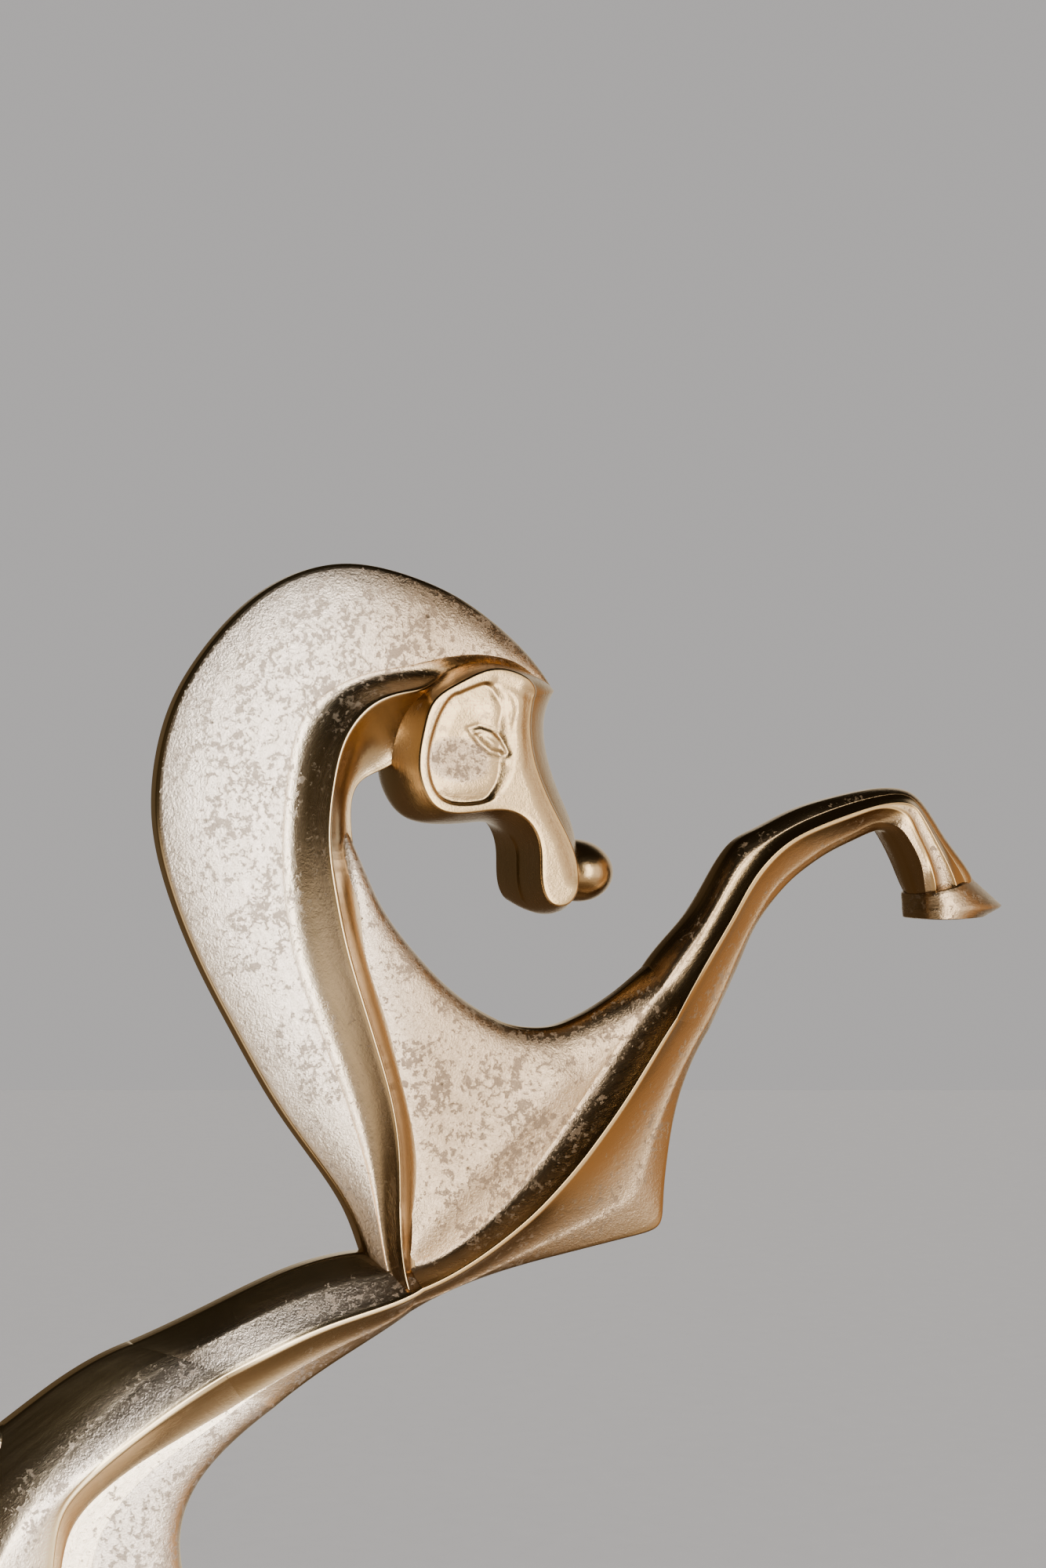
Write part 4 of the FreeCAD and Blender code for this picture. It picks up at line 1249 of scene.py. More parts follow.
class Tail(Casting):
    """Tail from the croup down to the plinth."""

    OUTER = rail([(-52, 222), (-67, 217.5), (-84, 210), (-99, 195), (-110, 172), (-116, 144),
                  (-117.5, 112), (-115.5, 78)], EDGE) + (
        (-112.5, 44, 3), (-111, 18, 5), (-116, 0, 7))
    CREST = ((-54, 215, 6), (-68, 209.5, 8), (-82, 201.5, 9), (-95, 188, 9), (-104.5, 167, 9),
             (-109.5, 141, 9), (-110.5, 111, 9), (-108, 78, 8.5), (-105.5, 45, 8.5),
             (-104.5, 19, 10), (-104, 0, 12))
    INNER = rail([(-56, 208), (-69, 201.5), (-80.5, 192.5), (-90, 179), (-97, 160), (-101, 137),
                  (-101.5, 109), (-99, 78)], EDGE) + ((-97, 46, 3), (-97, 18, 5), (-92, 0, 7))

    def __init__(self) -> None:
        """Joins the rails above into one patch."""
        web = Web(rails=(self.OUTER, self.CREST, self.INNER),
                  strips=(Strip(14, Rise.DOME, power=(1.4, 1.4), rough=(0.2, 0.4, 0.1)),
                          Strip(14, Rise.COVE, power=(1.2, 1.2), rough=(0.1, 0.4, 0.2))),
                  radii=(0.8, 0.9, 0.8), span=(0, 10), steps=24)
        super().__init__("tail", (web,))


# ------------------------------------------------------------------ head
@dataclass(frozen=True)
class Bump:
    """An oval swelling on the face, leaning by an angle in degrees."""

    x: float
    z: float
    long: float
    short: float
    lean: float
    height: float

    def lift(self, x: np.ndarray, z: np.ndarray) -> np.ndarray:
        """Height at some points.

        Args:
            x: x of the points, in mm.
            z: z of the points, in mm.
        Returns:
            Height at each point, in mm.
        """
        c, s = math.cos(math.radians(self.lean)), math.sin(math.radians(self.lean))
        u = ((x - self.x) * c + (z - self.z) * s) / self.long
        v = (-(x - self.x) * s + (z - self.z) * c) / self.short
        return self.height * np.exp(-(u * u + v * v))


class Head(Casting):
    """Head with a flat, rimmed face on each side."""

    HALF = 19.5
    FACE = ((112, 439.5), (108.5, 445.5), (98, 448), (87, 444), (77.8, 438), (74, 428.5),
            (72.6, 416.5), (76.8, 406.1), (84.5, 402.7), (94, 403.3), (103, 403.3),
            (110, 399), (113, 391), (113.4, 381.5), (117, 374.3), (124, 375.2),
            (126.7, 384.5), (123.3, 395.5), (117.3, 406.5), (112.3, 418.6), (110.5, 430),
            (112, 439.5))
    MIDDLE = ((125, 441.7), (115, 447.5), (98, 450.5), (84, 446.5), (74, 439.5), (70, 428.5),
              (69, 416.5), (73.8, 403.7), (83, 399.5), (94, 399.6), (102.5, 399.8),
              (109.5, 396.5), (113, 390.5), (113.4, 381), (117.5, 372), (126.5, 372),
              (131, 384.5), (130.8, 398), (126.5, 409), (122.6, 419.8), (121.2, 431),
              (125, 441.7))
    POCKET = ((86, 440.6), (79.4, 434), (75.6, 421), (77.2, 410.8), (81.6, 406.4), (88, 405.4),
              (97, 407.0), (103.2, 412.5), (104.9, 421), (104.4, 430), (105.2, 437.2),
              (99.5, 443.4), (92.5, 443.2), (86, 440.6))
    RINGS = 26
    STEPS = 20
    ROUND = 0.9
    MESH_STEP = 0.40
    UPPER_LID = ((89.3, 429.2), (92.8, 430.3), (96.8, 429.1), (100.0, 426.4), (102.2, 421.6))
    LID_ROLL = ((91.0, 428.0), (93.6, 428.6), (96.8, 427.6), (99.4, 425.2), (101.4, 421.8))
    LOWER_LID = ((90.6, 427.8), (93.3, 424.6), (96.6, 422.2), (101.6, 421.0))
    UNDER_LID = ((89.2, 427.0), (92.4, 422.8), (96.4, 420.0), (101.4, 418.8))
    BALL_LINE = ((94.2, 426.4), (97.2, 424.8), (100.2, 422.6))
    BROW_FOLD = ((95.0, 438.4), (98.0, 439.9), (101.5, 440.0), (104.2, 438.6))
    JAW_FOLD = ((80.5, 408.6), (83.8, 406.9), (88.5, 406.3), (93.0, 406.7), (96.5, 407.6))
    FORELOCK_FOLD = ((99.0, 443.6), (103.0, 442.6), (108, 440.4), (112.5, 438.4))
    NOSE_GROOVE = ((103.6, 436.6), (104.0, 432.7), (104.1, 428.6), (103.8, 424.5))
    BUMPS = (Bump(99.2, 434.6, 5.6, 4.8, -25, 0.75), Bump(97.0, 424.7, 3.6, 1.9, -38, 0.45),
             Bump(88, 423, 10, 6, -20, -0.35), Bump(86.5, 411.6, 8.5, 3.0, 0, 0.3),
             Bump(95.5, 431.6, 5.0, 1.8, -15, -0.2))

    PATCH = Bump(86, 419.5, 10.5, 7.0, -8, 1.0)
    FOLDS = ((UPPER_LID, -0.30, 0.8), (LID_ROLL, 0.32, 0.85), (LOWER_LID, -0.28, 0.8),
             (UNDER_LID, 0.24, 1.0), (BALL_LINE, 0.2, 0.8), (BROW_FOLD, -0.12, 1.4),
             (JAW_FOLD, -0.2, 1.2), (NOSE_GROOVE, -0.12, 2.2))
    POCKET_STATIONS = 240
    POCKET_DEPTH = 1.25
    BRIDGE_DROP = 1.3
    SEAM_HEIGHT = 0.5
    PROBE = 5      # number of the outline's point where its inner side is tested

    def __init__(self) -> None:
        """Sets the finer grain of the face."""
        super().__init__("head", grain=0.00012, wave=0.0002)

    def face_height(self, x: np.ndarray, z: np.ndarray) -> np.ndarray:
        """Half thickness of the face.

        Args:
            x: x of the points, in mm.
            z: z of the points, in mm.
        Returns:
            Half thickness at each point, in mm.
        """
        pocket = smooth_line(rail(self.POCKET, 0.0), np.linspace(
            0, len(self.POCKET) - 1, self.POCKET_STATIONS))[:, :2]
        inside = points_inside(pocket, x, z)
        gap = distance_to(pocket, x, z) * np.where(inside, 1, -1)
        height = np.full(x.shape, self.HALF)
        width = 1.3 + 6.0 * ease((x - 94) / 8)
        height -= self.POCKET_DEPTH * ease((gap + 0.2) / width)
        height += 0.45 * ease((gap - 1.0) / 5.0) * (1 - ease((x - 96) / 6))
        within = ease(gap / 2.0)
        for bump in self.BUMPS:
            height += bump.lift(x, z) * within
        for line, lift, width in self.FOLDS:
            height += Swell(line, lift, width).lift(x, z) * ease(gap + 0.5)
        height -= Swell(self.FORELOCK_FOLD, 0.32, 1.7).lift(x, z)
        near_bridge = 1 - ease(distance_to(self.bridge(), x, z) / 6.5)
        height -= self.BRIDGE_DROP * near_bridge * ease((x - 104) / 5)
        return np.minimum(height, self.HALF)

    def bridge(self) -> np.ndarray:
        """The face's border along the nose bridge, where the face rolls away."""
        return np.array(self.FACE[16:], float)

    def shape(self, relief: Relief) -> None:
        """Adds the head's side wall, its rounded rim and its face.

        Args:
            relief: where the patches are gathered.
        """
        count = len(self.FACE) - 1
        at = np.linspace(0, count, count * self.STEPS + 1)
        face = smooth_line(rail(self.FACE, 0.0), at)[:-1, :2]
        middle = smooth_line(rail(self.MIDDLE, 0.0), at)[:-1, :2]
        run = np.roll(face, -1, axis=0) - np.roll(face, 1, axis=0)
        inward = np.stack([run[:, 1], -run[:, 0]], axis=1)
        inward /= np.linalg.norm(inward, axis=1)[:, None]
        probe = self.PROBE * self.STEPS
        if not points_inside(face, *(face + inward)[probe:probe + 1].T)[0]:
            inward = -inward
        out_middle = middle - inward * self.seam(middle)[:, None]
        rows = []
        rim = face + inward * self.ROUND
        top = self.face_height(rim[:, 0], rim[:, 1]) - self.ROUND
        for ring in range(self.RINGS + 1):
            share = ring / self.RINGS
            belly = 1 - share ** 1.8
            bead = math.exp(-(share * self.HALF / 0.7) ** 2)
            outline = face + (middle - face) * belly + (out_middle - middle) * bead
            rows.append(np.column_stack([outline, share * top]))
        for step in range(1, CORNER_ROWS + 1):
            turn = step / CORNER_ROWS * math.pi / 2
            outline = face + inward * self.ROUND * (1 - math.cos(turn))
            rows.append(np.column_stack([outline, top + self.ROUND * math.sin(turn)]))
        inner = rows[-1][:, :2]
        grid = np.stack(rows)
        share = np.linspace(0, 1, len(rows))[:, None] * np.ones((1, grid.shape[1]))
        relief.add_grid(grid, 0.2 + 0.2 * np.sin(share * math.pi),
                        ease(share * 6) * ease((1 - share) * 4), closed=True)
        self.lay_face(relief, inner)

    def seam(self, outline: np.ndarray) -> np.ndarray:
        """Height of the parting seam along the back of the muzzle.

        Args:
            outline: points (x, z) of the mid-plane's outline, in mm.
        Returns:
            Height at each point, in mm.
        """
        x, z = outline[:, 0], outline[:, 1]
        return self.SEAM_HEIGHT * ease((z - 373) / 3) * ease((397 - z) / 3) * (np.abs(x - 113) < 3)

    def lay_face(self, relief: Relief, border: np.ndarray) -> None:
        """Adds the near face.

        Args:
            relief: the head's patches.
            border: the face's closed outline, which the rim ends in.
        """
        low, high = border.min(axis=0), border.max(axis=0)
        xs = np.arange(low[0], high[0], self.MESH_STEP)
        zs = np.arange(low[1], high[1], self.MESH_STEP * math.sqrt(3) / 2)
        x, z = np.meshgrid(xs, zs)
        x[1::2] += self.MESH_STEP / 2
        x, z = x.ravel(), z.ravel()
        keep = points_inside(border, x, z)
        x, z = x[keep], z[keep]
        ring = np.vstack([border, border[:1]])
        keep = distance_to(ring, x, z) > self.MESH_STEP * 0.75
        inside = np.column_stack([x[keep], z[keep]])
        flat = np.vstack([border, inside])
        edges = [(i, (i + 1) % len(border)) for i in range(len(border))]
        made = delaunay_2d_cdt([Vector(p) for p in flat.tolist()], edges, [], 1, 1e-6)
        points = np.array([tuple(p) for p in made[0]])
        faces = np.array(made[2])
        height = self.face_height(points[:, 0], points[:, 1])
        drawn = np.column_stack([points, height])
        gap = distance_to(ring, points[:, 0], points[:, 1])
        patch = self.PATCH.lift(points[:, 0], points[:, 1])
        rough = 0.35 + 0.6 * ease((patch - 0.25) / 0.4)
        relief.add_triangles(drawn, faces, 0.2 + (rough - 0.2) * ease(gap / 1.2), ease(gap / 1.5))


def points_inside(outline: np.ndarray, x: np.ndarray, z: np.ndarray) -> np.ndarray:
    """Which points are inside an outline.

    Args:
        outline: corners (x, z) of a closed line.
        x: x of the points.
        z: z of the points.
    Returns:
        True for each point inside.
    """
    inside = np.zeros(x.shape, bool)
    for a, b in zip(outline, np.roll(outline, -1, axis=0)):
        crosses = (a[1] > z) != (b[1] > z)
        with np.errstate(divide="ignore", invalid="ignore"):
            where = (b[0] - a[0]) * (z - a[1]) / (b[1] - a[1]) + a[0]
        inside ^= crosses & (x < where)
    return inside


class Nose(Casting):
    """Round end of the muzzle: a leaning egg, with sizes in mm."""

    CENTRE = (133.2, 384.3)
    LONG, TALL, THICK = 11.7, 10.0, 14.0
    LEAN = math.radians(-12)
    RINGS, STEPS = 40, 120
    LAST_RING = 0.999 * math.pi / 2    # just short of the pole, so that its ring stays open
    DENT, DENT_TURN, DENT_WIDTH = 0.035, 2.4, 0.35
    ROUGH, FREE = 0.3, 0.6

    def __init__(self) -> None:
        """Sets the fine grain of the nose."""
        super().__init__("nose", grain=0.00008, wave=0.0001)

    def shape(self, relief: Relief) -> None:
        """Adds the near half of the egg.

        Args:
            relief: where the patches are gathered.
        """
        high = corners("nose")[1]
        turn = np.linspace(0, 2 * math.pi, self.STEPS, endpoint=False)
        rows = []
        for rise in np.linspace(0, self.LAST_RING, self.RINGS + 1):
            dent = self.DENT * np.exp(-((turn - self.DENT_TURN) / self.DENT_WIDTH) ** 2)
            shrink = math.cos(rise) * (1 - dent * math.cos(rise))
            x, z = self.LONG * np.cos(turn) * shrink, self.TALL * np.sin(turn) * shrink
            rows.append(np.column_stack([
                self.CENTRE[0] + x * math.cos(self.LEAN) - z * math.sin(self.LEAN),
                self.CENTRE[1] + x * math.sin(self.LEAN) + z * math.cos(self.LEAN),
                np.full(self.STEPS, self.THICK * math.sin(rise))]))
        grid = np.stack(rows)
        grid[..., 0] = np.minimum(grid[..., 0], (high.x - MIDDLE_X) / MM)
        relief.add_grid(grid, np.full(grid.shape[:2], self.ROUGH),
                        self.FREE * (grid[..., 2] > 0.5), closed=True)


# ------------------------------------------------------------------ hooves
@dataclass(frozen=True)
class HoofRing:
    """One outline of a hoof: heel, toe, half width, height and rise toward the toe, in mm."""

    heel: float
    toe: float
    half: float
    z: float
    lift: float = 0.0


class Hoof(Casting):
    """A hoof with a bevelled sole, a groove and a coronet."""

    SHAPE = ((1.0, 0.0), (0.80, 0.52), (0.52, 0.92), (0.25, 1.0), (0.05, 0.72), (0.0, 0.0))
    STEPS = 18
    ROUGH, FREE = 0.55, 0.8

    def __init__(self, name: str, rings: Sequence[HoofRing]) -> None:
        """Takes the hoof's name and its rings, from the sole up."""
        super().__init__(name, grain=0.0002, wave=0.0002)
        self.rings = rings

    def shape(self, relief: Relief) -> None:
        """Adds the near half of the hoof.

        Args:
            relief: where the patches are gathered.
        """
        count = len(self.SHAPE) - 1
        near, far = count * self.STEPS + 1, [(a, -b) for a, b in self.SHAPE[-2::-1]]
        at = np.linspace(0, 2 * count, 2 * near - 1)
        line = smooth_line(rail((*self.SHAPE, *far), 0.0), at)[:near, :2]
        rings = np.array([(r.heel, r.toe, r.half, r.z, r.lift) for r in self.rings])
        grid = np.stack([
            np.column_stack([heel + line[:, 0] * (toe - heel), z + line[:, 0] * lift,
                             np.abs(line[:, 1]) * half])
            for heel, toe, half, z, lift in smooth_levels(rings)])
        grid[:, [0, -1], 2] = 0.0
        relief.add_grid(grid, np.full(grid.shape[:2], self.ROUGH),
                        ease(grid[..., 2] / 2.0) * self.FREE)


RING_SHARES = (0.0, 0.12, 0.3, 0.5, 0.7, 0.88)
HIND_HOOF_LENGTH = 34.0
HEEL_INSET = 0.5     # from the hind hoof's box to its heel, in mm


def smooth_levels(rings: np.ndarray) -> np.ndarray:
    """Adds rings between the given ones, close to each so that its corner stays crisp.

    Args:
        rings: one row of sizes per ring.
    Returns:
        More rows, which keep the given ones.
    """
    out = []
    for a, b in zip(rings, rings[1:]):
        out += [a + (b - a) * t for t in RING_SHARES]
    out.append(rings[-1])
    return np.array(out)


def raised_hoof() -> Hoof:
    """Hoof of the raised foreleg.

    Returns:
        The hoof.
    """
    return Hoof("raised_hoof", (
        HoofRing(257.4, 281.5, 11.6, 366.6), HoofRing(256.5, 284.5, 12.4, 366.9),
        HoofRing(256.0, 290.6, 12.9, 369.8), HoofRing(256.0, 291.3, 12.9, 370.5),
        HoofRing(256.0, 290.6, 12.9, 371.0, 0.2), HoofRing(255.9, 280.6, 12.3, 374.2, 5.0),
        HoofRing(256.0, 279.4, 12.0, 374.9, 5.4), HoofRing(256.8, 278.2, 11.2, 375.4, 5.4)))


def hind_hoof(name: str, heel: float) -> Hoof:
    """Hoof that stands on the plinth.

    Args:
        name: the CAD node.
        heel: x of its heel, in mm.
    Returns:
        The hoof.
    """
    toe = heel + HIND_HOOF_LENGTH
    return Hoof(name, (
        HoofRing(heel + 0.8, toe - 0.8, 13.8, 0.0), HoofRing(heel, toe, 14.6, 0.5),
        HoofRing(heel, toe, 14.9, 3.2), HoofRing(heel, toe - 0.6, 14.8, 4.4),
        HoofRing(heel - 0.3, toe - 8.0, 13.4, 11.2), HoofRing(heel + 0.6, toe - 10.0, 11.9, 12.0),
        HoofRing(heel + 0.6, toe - 10.6, 11.9, 12.9), HoofRing(heel - 0.4, toe - 10.4, 12.6, 13.8),
        HoofRing(heel - 0.4, toe - 11.2, 12.4, 14.6), HoofRing(heel + 0.6, toe - 12.2, 11.6, 15.0)))


# ------------------------------------------------------------------ fasteners and felt
@dataclass
class Fasteners:
    """Threaded studs, washers and nuts at the figure's three feet, with sizes in metres.

    Args:
        pitch: thread pitch.
        groove: thread depth.
        chamfer: how far the stud's ends are turned down, in thread depths.
        hub: radius of the small flat that closes the stud's ends.
        clearance: gap round the stud in its washer and nut.
        washer_edge: chamfer of the washer's rims.
        nut_edge: chamfer of the nut's bore.
        nut_end: height of the nut's turned ends.
        foot_share: place of a hind hoof's stud, as a share of the hoof's length.
        sides: faces round a stud, washer and nut.
    """

    pitch: float = 0.001
    groove: float = 0.00045
    chamfer: float = 1.4
    hub: float = 0.00002
    clearance: float = 0.0001
    washer_edge: float = 0.0002
    nut_edge: float = 0.0004
    nut_end: float = 0.0009
    foot_share: float = 0.42
    sides: tuple[int, int, int] = (40, 64, 72)
    names: tuple[str, ...] = ("studs", "washers", "nuts")

    def places(self) -> list[float]:
        """Places of the three feet, from the CAD studs' box and the feet that they enter.

        Returns:
            Their x, in metres.
        """
        low, high = corners("studs")
        radius = (high.y - low.y) / 2
        heel = corners("rear_hind_hoof")[0].x + HEEL_INSET * MM
        middle = heel + self.foot_share * HIND_HOOF_LENGTH * MM
        return [low.x + radius, middle, high.x - radius]

    def turned(self, name: str, profile: Sequence[Point], sides: int,
               flats: float = 0.0) -> bpy.types.Object:
        """A closed solid turned about the Z axis.

        Args:
            name: name of the object.
            profile: rows of radius, height and whether the hexagon cuts it, 0 or 1.
            sides: faces round it.
            flats: half the hexagon's width across its flats.
        Returns:
            The object.
        """
        points, faces, count = [], [], len(profile)
        for row, (radius, height, hexagon) in enumerate(profile):
            after = (row + 1) % count
            for k in range(sides):
                angle, n = 2 * math.pi * k / sides, (k + 1) % sides
                sector = (angle + math.pi / 6) % (math.pi / 3) - math.pi / 6
                flat = flats / math.cos(math.pi / 6 - abs(sector))
                reach = min(radius, flat) if hexagon else radius
                points.append((reach * math.cos(angle), reach * math.sin(angle), height))
                faces.append((row * sides + k, row * sides + n, after * sides + n,
                              after * sides + k))
        mesh = bpy.data.meshes.new(name)
        mesh.from_pydata(points, [], faces)
        close_mesh(mesh)
        mesh.set_sharp_from_angle(angle=math.radians(30))
        return link(name, mesh)

    def stud(self) -> bpy.types.Object:
        """One threaded stud with chamfered ends.

        Returns:
            Its object.
        """
        low, high = corners("studs")
        radius = (high.y - low.y) / 2
        end = radius - self.groove * self.chamfer
        profile = [(self.hub, low.z, 0), (end, low.z, 0)]
        height = low.z + self.pitch
        while height < high.z - self.pitch:
            profile += [(radius - self.groove, height, 0), (radius, height + 0.38 * self.pitch, 0),
                        (radius, height + 0.5 * self.pitch, 0)]
            height += self.pitch
        profile += [(end, high.z, 0), (self.hub, high.z, 0)]
        return self.turned("one_stud", profile, self.sides[0])

    def washer(self) -> bpy.types.Object:
        """One washer with chamfered rims.

        Returns:
            Its object.
        """
        low, high = corners("washers")
        radius, hole = (high.y - low.y) / 2, corners("studs")[1].y + self.clearance
        edge = self.washer_edge
        half = [(hole, edge), (hole + edge, 0.0), (radius - edge, 0.0), (radius, edge)]
        profile = [(reach, low.z + rise, 0) for reach, rise in half]
        profile += [(reach, high.z - rise, 0) for reach, rise in reversed(half)]
        return self.turned("one_washer", profile, self.sides[1])

    def nut(self) -> bpy.types.Object:
        """One hexagon nut with chamfered corners.

        Returns:
            Its object.
        """
        low, high = corners("nuts")
        flats, hole = (high.y - low.y) / 2, corners("studs")[1].y + self.clearance
        half = [(hole, self.nut_edge, 0), (hole + self.nut_edge, 0.0, 0), (flats * 0.95, 0.0, 0),
                (flats * 1.16, self.nut_end, 1)]
        profile = [(reach, low.z + rise, cut) for reach, rise, cut in half]
        profile += [(reach, high.z - rise, cut) for reach, rise, cut in reversed(half)]
        return self.turned("one_nut", profile, self.sides[2], flats)

    def array_tree(self) -> bpy.types.NodeTree:
        """Geometry nodes that put one fastener at each point of a row of feet.

        Returns:
            A group with the inputs Fastener and Metal.
        """
        tree, start, end = new_mesh_group("at_each_foot", {"Fastener": "NodeSocketObject",
                                                           "Metal": METAL})
        info = tree.add("GeometryNodeObjectInfo", {"Object": start.outputs["Fastener"]})
        copies = tree.add("GeometryNodeInstanceOnPoints", {
            "Points": start.outputs["Geometry"], "Instance": info.outputs["Geometry"]})
        real = tree.add("GeometryNodeRealizeInstances", {"Geometry": copies.outputs[0]})
        painted = tree.add("GeometryNodeSetMaterial", {"Geometry": real.outputs[0],
                                                       "Material": start.outputs["Metal"]})
        tree.put(end.inputs["Geometry"], painted.outputs[0])
        return tree.tree

    def build(self, metal: bpy.types.Material) -> list[bpy.types.Object]:
        """Makes the three sets of fasteners.

        Args:
            metal: their material.
        Returns:
            One piece per CAD node.
        """
        group, pieces = self.array_tree(), []
        for node, maker in zip(self.names, (self.stud, self.washer, self.nut)):
            single = maker()
            feet = bpy.data.meshes.new(node + "_set")
            feet.from_pydata([(x, 0.0, 0.0) for x in self.places()], [], [])
            piece = link(node + "_set", feet)
            settle(piece, group, {"Fastener": single, "Metal": metal})
            bpy.data.objects.remove(single)
            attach(piece, "root")
            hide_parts(node)
            pieces.append(piece)
            LOG.info("%s: %d faces", piece.name, len(piece.data.polygons))
        return pieces


@dataclass
class FeltPad:
    """Pressed felt pad under the plinth.

    Args:
        step: size of its mesh, in metres.
        fuzz: unevenness of its lower face, in metres.
        seed: seed of the unevenness.
    """

    step: float = 0.002
    fuzz: float = 0.00012
    seed: int = 11

    def build(self, felt: bpy.types.Material) -> bpy.types.Object:
        """Makes the pad in the place of its CAD node.

        Args:
            felt: its material.
        Returns:
            The pad.
        """
        low, high = corners("felt")
        work = bmesh.new()
        count_x = int((high.x - low.x) / self.step)
        count_y = int((high.y - low.y) / self.step)
        xs, ys = np.linspace(low.x, high.x, count_x + 1), np.linspace(low.y, high.y, count_y + 1)
        waves = np.random.default_rng(self.seed).uniform(0, 1, (count_x + 1, count_y + 1))
        rows = []
        for z, sign in ((low.z, 1), (high.z, 0)):
            rows.append([[work.verts.new((x, y, z + sign * waves[i, j] * self.fuzz))
                          for j, y in enumerate(ys)] for i, x in enumerate(xs)])
        for grid in rows:
            for i in range(count_x):
                for j in range(count_y):
                    work.faces.new((grid[i][j], grid[i + 1][j], grid[i + 1][j + 1],
                                    grid[i][j + 1]))
        rim = [(i, 0) for i in range(count_x)] + [(count_x, j) for j in range(count_y)]
        rim += [(i, count_y) for i in range(count_x, 0, -1)]
        rim += [(0, j) for j in range(count_y, 0, -1)]
        for (i, j), (k, m) in zip(rim, rim[1:] + rim[:1]):
            work.faces.new((rows[0][i][j], rows[0][k][m], rows[1][k][m], rows[1][i][j]))
        bmesh.ops.recalc_face_normals(work, faces=work.faces)
        mesh = bpy.data.meshes.new("felt_pad")
        work.to_mesh(mesh)
        work.free()
        mesh.materials.append(felt)
        piece = link("felt_pad", mesh)
        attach(piece, "root")
        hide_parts("felt")
        return piece


# ------------------------------------------------------------------ the whole figure
class Figure:
    """All the castings of the horse."""

    def __init__(self) -> None:
        """Lists the castings, in the order in which they are built."""
        rear = (corners("rear_hind_hoof")[0].x - MIDDLE_X) / MM + HEEL_INSET
        forward = (corners("forward_hind_hoof")[0].x - MIDDLE_X) / MM + HEEL_INSET
        self.castings: list[Casting] = [
            Neck(), Breast(), Foreleg(), Barrel(), RearHindLeg(), ForwardHindLeg(), Tail(), Head(),
            Nose(), raised_hoof(),
            hind_hoof("rear_hind_hoof", rear), hind_hoof("forward_hind_hoof", forward)]

    def build(self) -> None:
        """Makes every casting's mesh."""
        for casting in self.castings:
            casting.build()

    def dress(self, metal: bpy.types.Material) -> None:
        """Gives every casting its skin and metal.

        Args:
            metal: the castings' material.
        """
        skin = skin_tree()
        for casting in self.castings:
            casting.dress(skin, metal)


ACROSS = (0.927, 0.375, 0.0)     # to the camera's right
FRONT = (0.375, -0.927, 0.0)     # toward the camera, in part
UPWARD = (0.0, 0.0, 1.0)


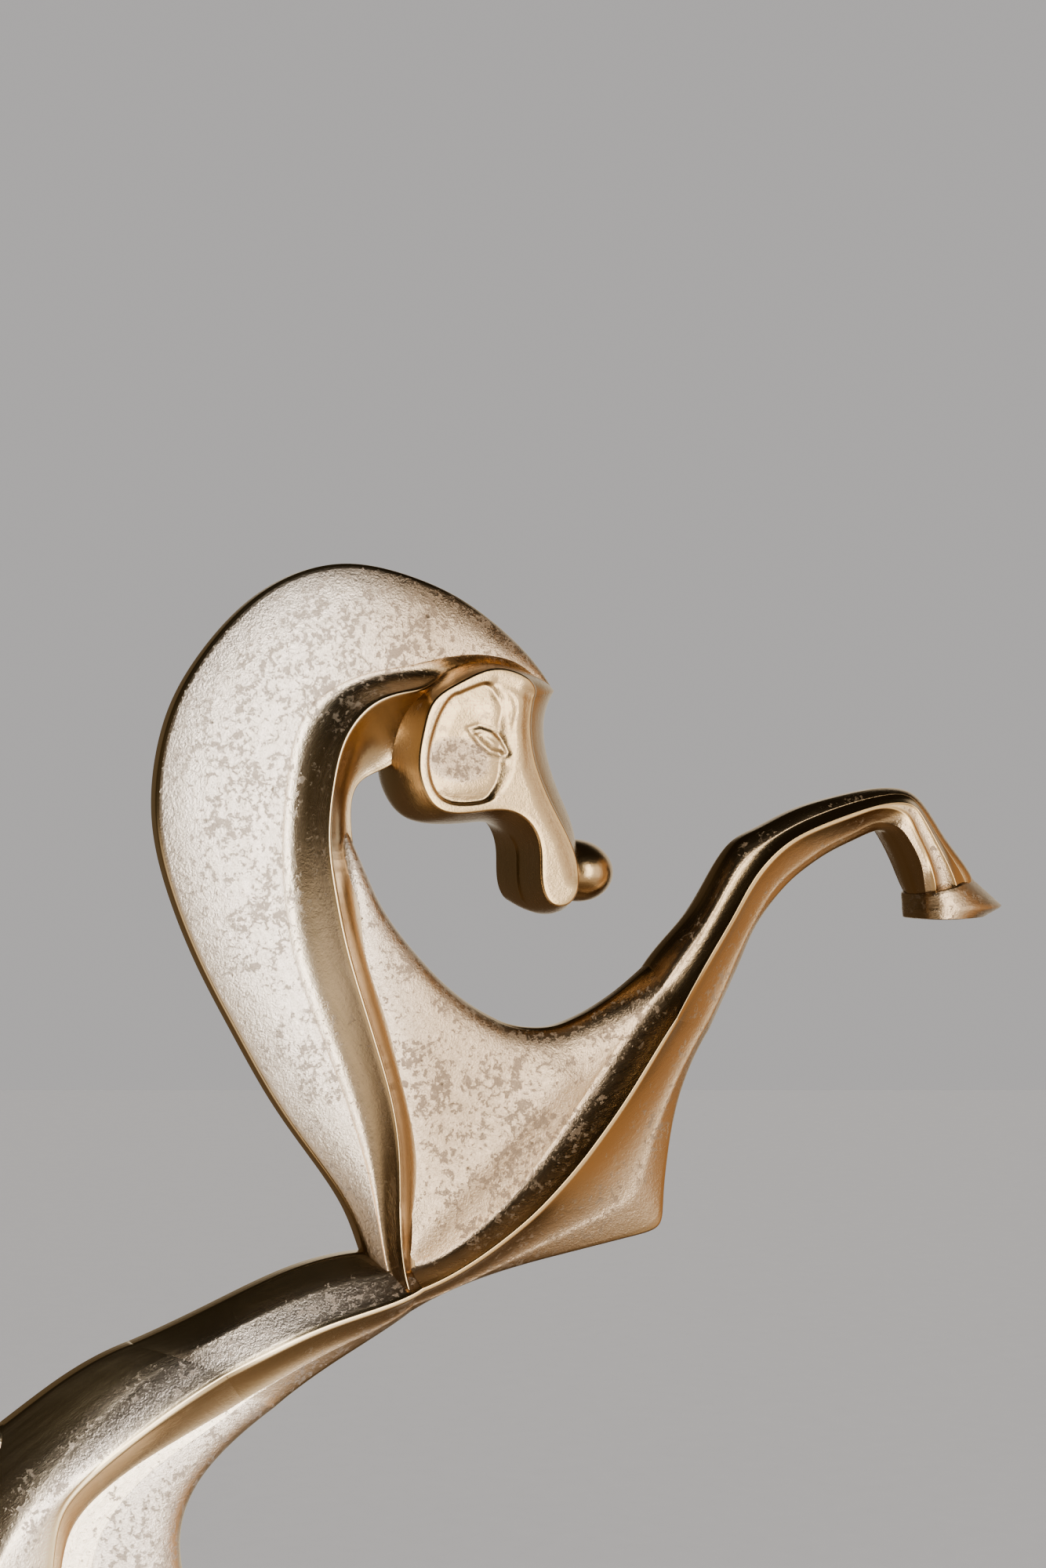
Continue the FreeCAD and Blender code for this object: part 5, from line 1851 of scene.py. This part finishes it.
@dataclass(frozen=True)
class Studio:
    """Pale floor, soft light and the camera, with lengths in metres.

    Args:
        turn: angle between the camera's view and the figure's broad side.
        aim: point that the camera looks at.
        distance: from the camera to that point.
        lens: focal length in mm.
        sensor: height of the sensor in mm.
        floor_half: from the floor's middle to its sides and its near edge.
        floor_reach: from the floor's middle to its far edge.
        floor_shades: the two tones of the floor.
        walls: the room's left and right side, as the metal sees them.
        below: what the metal sees low in front, low behind and straight down.
        ceiling: the room above.
        pane: the soft window.
        core: the bright band in the window.
        backdrop: plain grey that the camera sees behind the floor.
        daylight: strength of the sun lamp.
    """

    turn: float = math.radians(22.0)
    aim: tuple[float, float, float] = (0.115, 0.0, 0.440)
    distance: float = 0.925
    lens: float = 66.6
    sensor: float = 36.0
    floor_half: float = 2.4
    floor_reach: float = 3.245
    floor_shades: tuple[Colour, Colour] = ((0.575, 0.57, 0.58, 1.0), (0.615, 0.61, 0.62, 1.0))
    walls: tuple[Colour, Colour] = ((0.045, 0.033, 0.018, 1.0), (0.12, 0.09, 0.055, 1.0))
    below: tuple[Colour, Colour, Colour] = (
        (1.0, 0.86, 0.70, 1.0), (0.12, 0.08, 0.045, 1.0), (0.24, 0.155, 0.085, 1.0))
    ceiling: Colour = (0.018, 0.015, 0.010, 1.0)
    pane: Colour = (2.2, 2.08, 1.94, 1.0)
    core: Colour = (12.0, 11.9, 11.8, 1.0)
    backdrop: Colour = (0.492, 0.476, 0.470, 1.0)
    daylight: float = 2.3

    # The window's sides: a direction, and where along it the light begins and is full.
    WINDOW = ((ACROSS, -0.54, -0.22), (ACROSS, 0.75, 0.40), (UPWARD, 0.62, 0.22),
              (UPWARD, -0.62, -0.20), (FRONT, 0.0, 0.2))
    # Soft lobes of light: direction, where each begins and is full, and its colour.
    LOBES = (((0.97, -0.22, -0.10), 0.70, 0.93, (0.74, 0.43, 0.20, 1.0)),
             ((0.62, 0.78, 0.08), 0.80, 0.95, (0.95, 0.90, 0.78, 1.0)))

    def build(self) -> None:
        """Makes the stage, the sky of soft boxes, the lamps and the camera."""
        self.add_camera()
        self.add_floor()
        self.add_sky()
        self.add_sun()

    def add_camera(self) -> None:
        """Level camera at the viewing angle of the figure."""
        data = bpy.data.cameras.new("camera")
        data.sensor_fit, data.sensor_height, data.lens = "VERTICAL", self.sensor, self.lens
        data.clip_end = 50.0
        camera = bpy.data.objects.new("camera", data)
        bpy.context.scene.collection.objects.link(camera)
        look = Vector((math.sin(self.turn), math.cos(self.turn), 0.0))
        camera.location = Vector(self.aim) - look * self.distance
        camera.rotation_euler = look.to_track_quat("-Z", "Y").to_euler()
        bpy.context.scene.camera = camera

    def add_floor(self) -> None:
        """Large pale floor, square to the camera."""
        c, s = math.cos(self.turn), math.sin(self.turn)
        half, reach = self.floor_half, self.floor_reach
        square = [(-half, -half), (half, -half), (half, reach), (-half, reach)]
        points = [(self.aim[0] + u * c + v * s, self.aim[1] - u * s + v * c, 0.0)
                  for u, v in square]
        mesh = bpy.data.meshes.new("floor")
        mesh.from_pydata(points, [], [(0, 1, 2, 3)])
        floor = link("floor", mesh)
        material, tree, where = new_material("floor")
        grain = tree.noise(where, 60.0, 4.0)
        body = tree.mix(grain, *self.floor_shades)
        shader = tree.add("ShaderNodeBsdfPrincipled", {"Base Color": body, "Roughness": 0.75,
                                                       "Specular IOR Level": 0.2})
        show(tree, shader)
        mesh.materials.append(material)
        floor.visible_glossy = False

    def add_sky(self) -> None:
        """Room light: a soft window in front, warm wood at the right, dark above."""
        world = bpy.data.worlds.new("room")
        bpy.context.scene.world = world
        world.use_nodes = True
        world.node_tree.nodes.clear()
        tree = Tree(world.node_tree)
        where = tree.add("ShaderNodeTexCoord").outputs["Generated"]
        side, back, up = tree.add("ShaderNodeSeparateXYZ", {0: where}).outputs[:3]
        room = tree.mix(tree.band(side, -0.9, -0.3), *self.walls)
        ground = tree.mix(tree.band(back, -0.5, 0.3), *self.below[:2])
        ground = tree.mix(tree.band(up, -0.92, -0.68), self.below[2], ground)
        room = tree.mix(tree.band(up, -0.45, -0.05), ground, room)
        room = tree.mix(tree.band(up, 0.2, 0.7), room, self.ceiling)
        window = self.edge(tree, where, *self.WINDOW[0])
        for limit in self.WINDOW[1:]:
            window = tree.math("MULTIPLY", window, self.edge(tree, where, *limit))
        for direction, begin, full, colour in self.LOBES:
            toward = tree.along(where, Vector(direction).normalized())
            room = tree.mix(tree.band(toward, begin, full), room, colour)
        core = self.edge(tree, where, ACROSS, -0.03, -0.13)
        room = tree.mix(window, room, tree.mix(core, self.pane, self.core))
        seen = tree.add("ShaderNodeLightPath").outputs["Is Camera Ray"]
        lit = tree.add("ShaderNodeBackground", {"Color": room, "Strength": 1.0})
        plain = tree.add("ShaderNodeBackground", {"Color": self.backdrop, "Strength": 1.0})
        both = tree.add("ShaderNodeMixShader", {0: seen, 1: lit.outputs[0], 2: plain.outputs[0]})
        tree.add("ShaderNodeOutputWorld", {"Surface": both.outputs[0]})

    @staticmethod
    def edge(tree: Tree, where: Socket, direction: Point, begin: float, full: float) -> Socket:
        """Soft edge of a light.

        Args:
            tree: the sky's tree.
            where: the direction that is looked in.
            direction: the direction that the edge is measured along.
            begin: place along it where the light begins.
            full: place along it where the light is full.
        Returns:
            A mask from 0 to 1.
        """
        toward = tree.along(where, direction)
        if begin < full:
            return tree.band(toward, begin, full)
        return tree.band(toward, full, begin, 1.0, 0.0)

    def add_sun(self) -> None:
        """Broad daylight on the floor and the plinth, too soft to glint in the metal."""
        data = bpy.data.lights.new("daylight", "SUN")
        data.energy, data.angle, data.color = self.daylight, math.radians(50), (1.0, 0.98, 0.96)
        lamp = bpy.data.objects.new("daylight", data)
        lamp.rotation_euler = Vector((-0.25, 0.45, -1.0)).to_track_quat("-Z", "Y").to_euler()
        lamp.visible_glossy = False
        bpy.context.scene.collection.objects.link(lamp)


DOWEL_NODES = ("neck_dowels", "head_dowels", "nose_dowel", "breast_dowel", "forearm_dowel",
               "raised_hoof_dowels", "haunch_dowel", "hind_leg_dowels", "tail_dowel",
               "hind_hoof_dowels")


def dress_node(node: str, material: bpy.types.Material) -> None:
    """Gives a CAD node that is kept as it is its material.

    Args:
        node: the CAD node.
        material: its material.
    """
    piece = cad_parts[node]
    piece.data.materials.clear()
    piece.data.materials.append(material)


def main() -> None:
    """Builds the figure, its fixings and its studio, in order."""
    logging.basicConfig(level=logging.INFO, format="%(message)s")
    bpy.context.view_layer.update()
    metal = CastMetal().build(cast_skin_group(), burnish_group())
    steel = BrushedSteel().build()
    figure = Figure()
    figure.build()
    figure.dress(metal)
    Fasteners().build(steel)
    FeltPad().build(PressedFelt().build())
    for node in DOWEL_NODES:
        dress_node(node, steel)
    dress_node("plinth", PolishedStone().build())
    Studio().build()


if __name__ == "__main__":
    main()
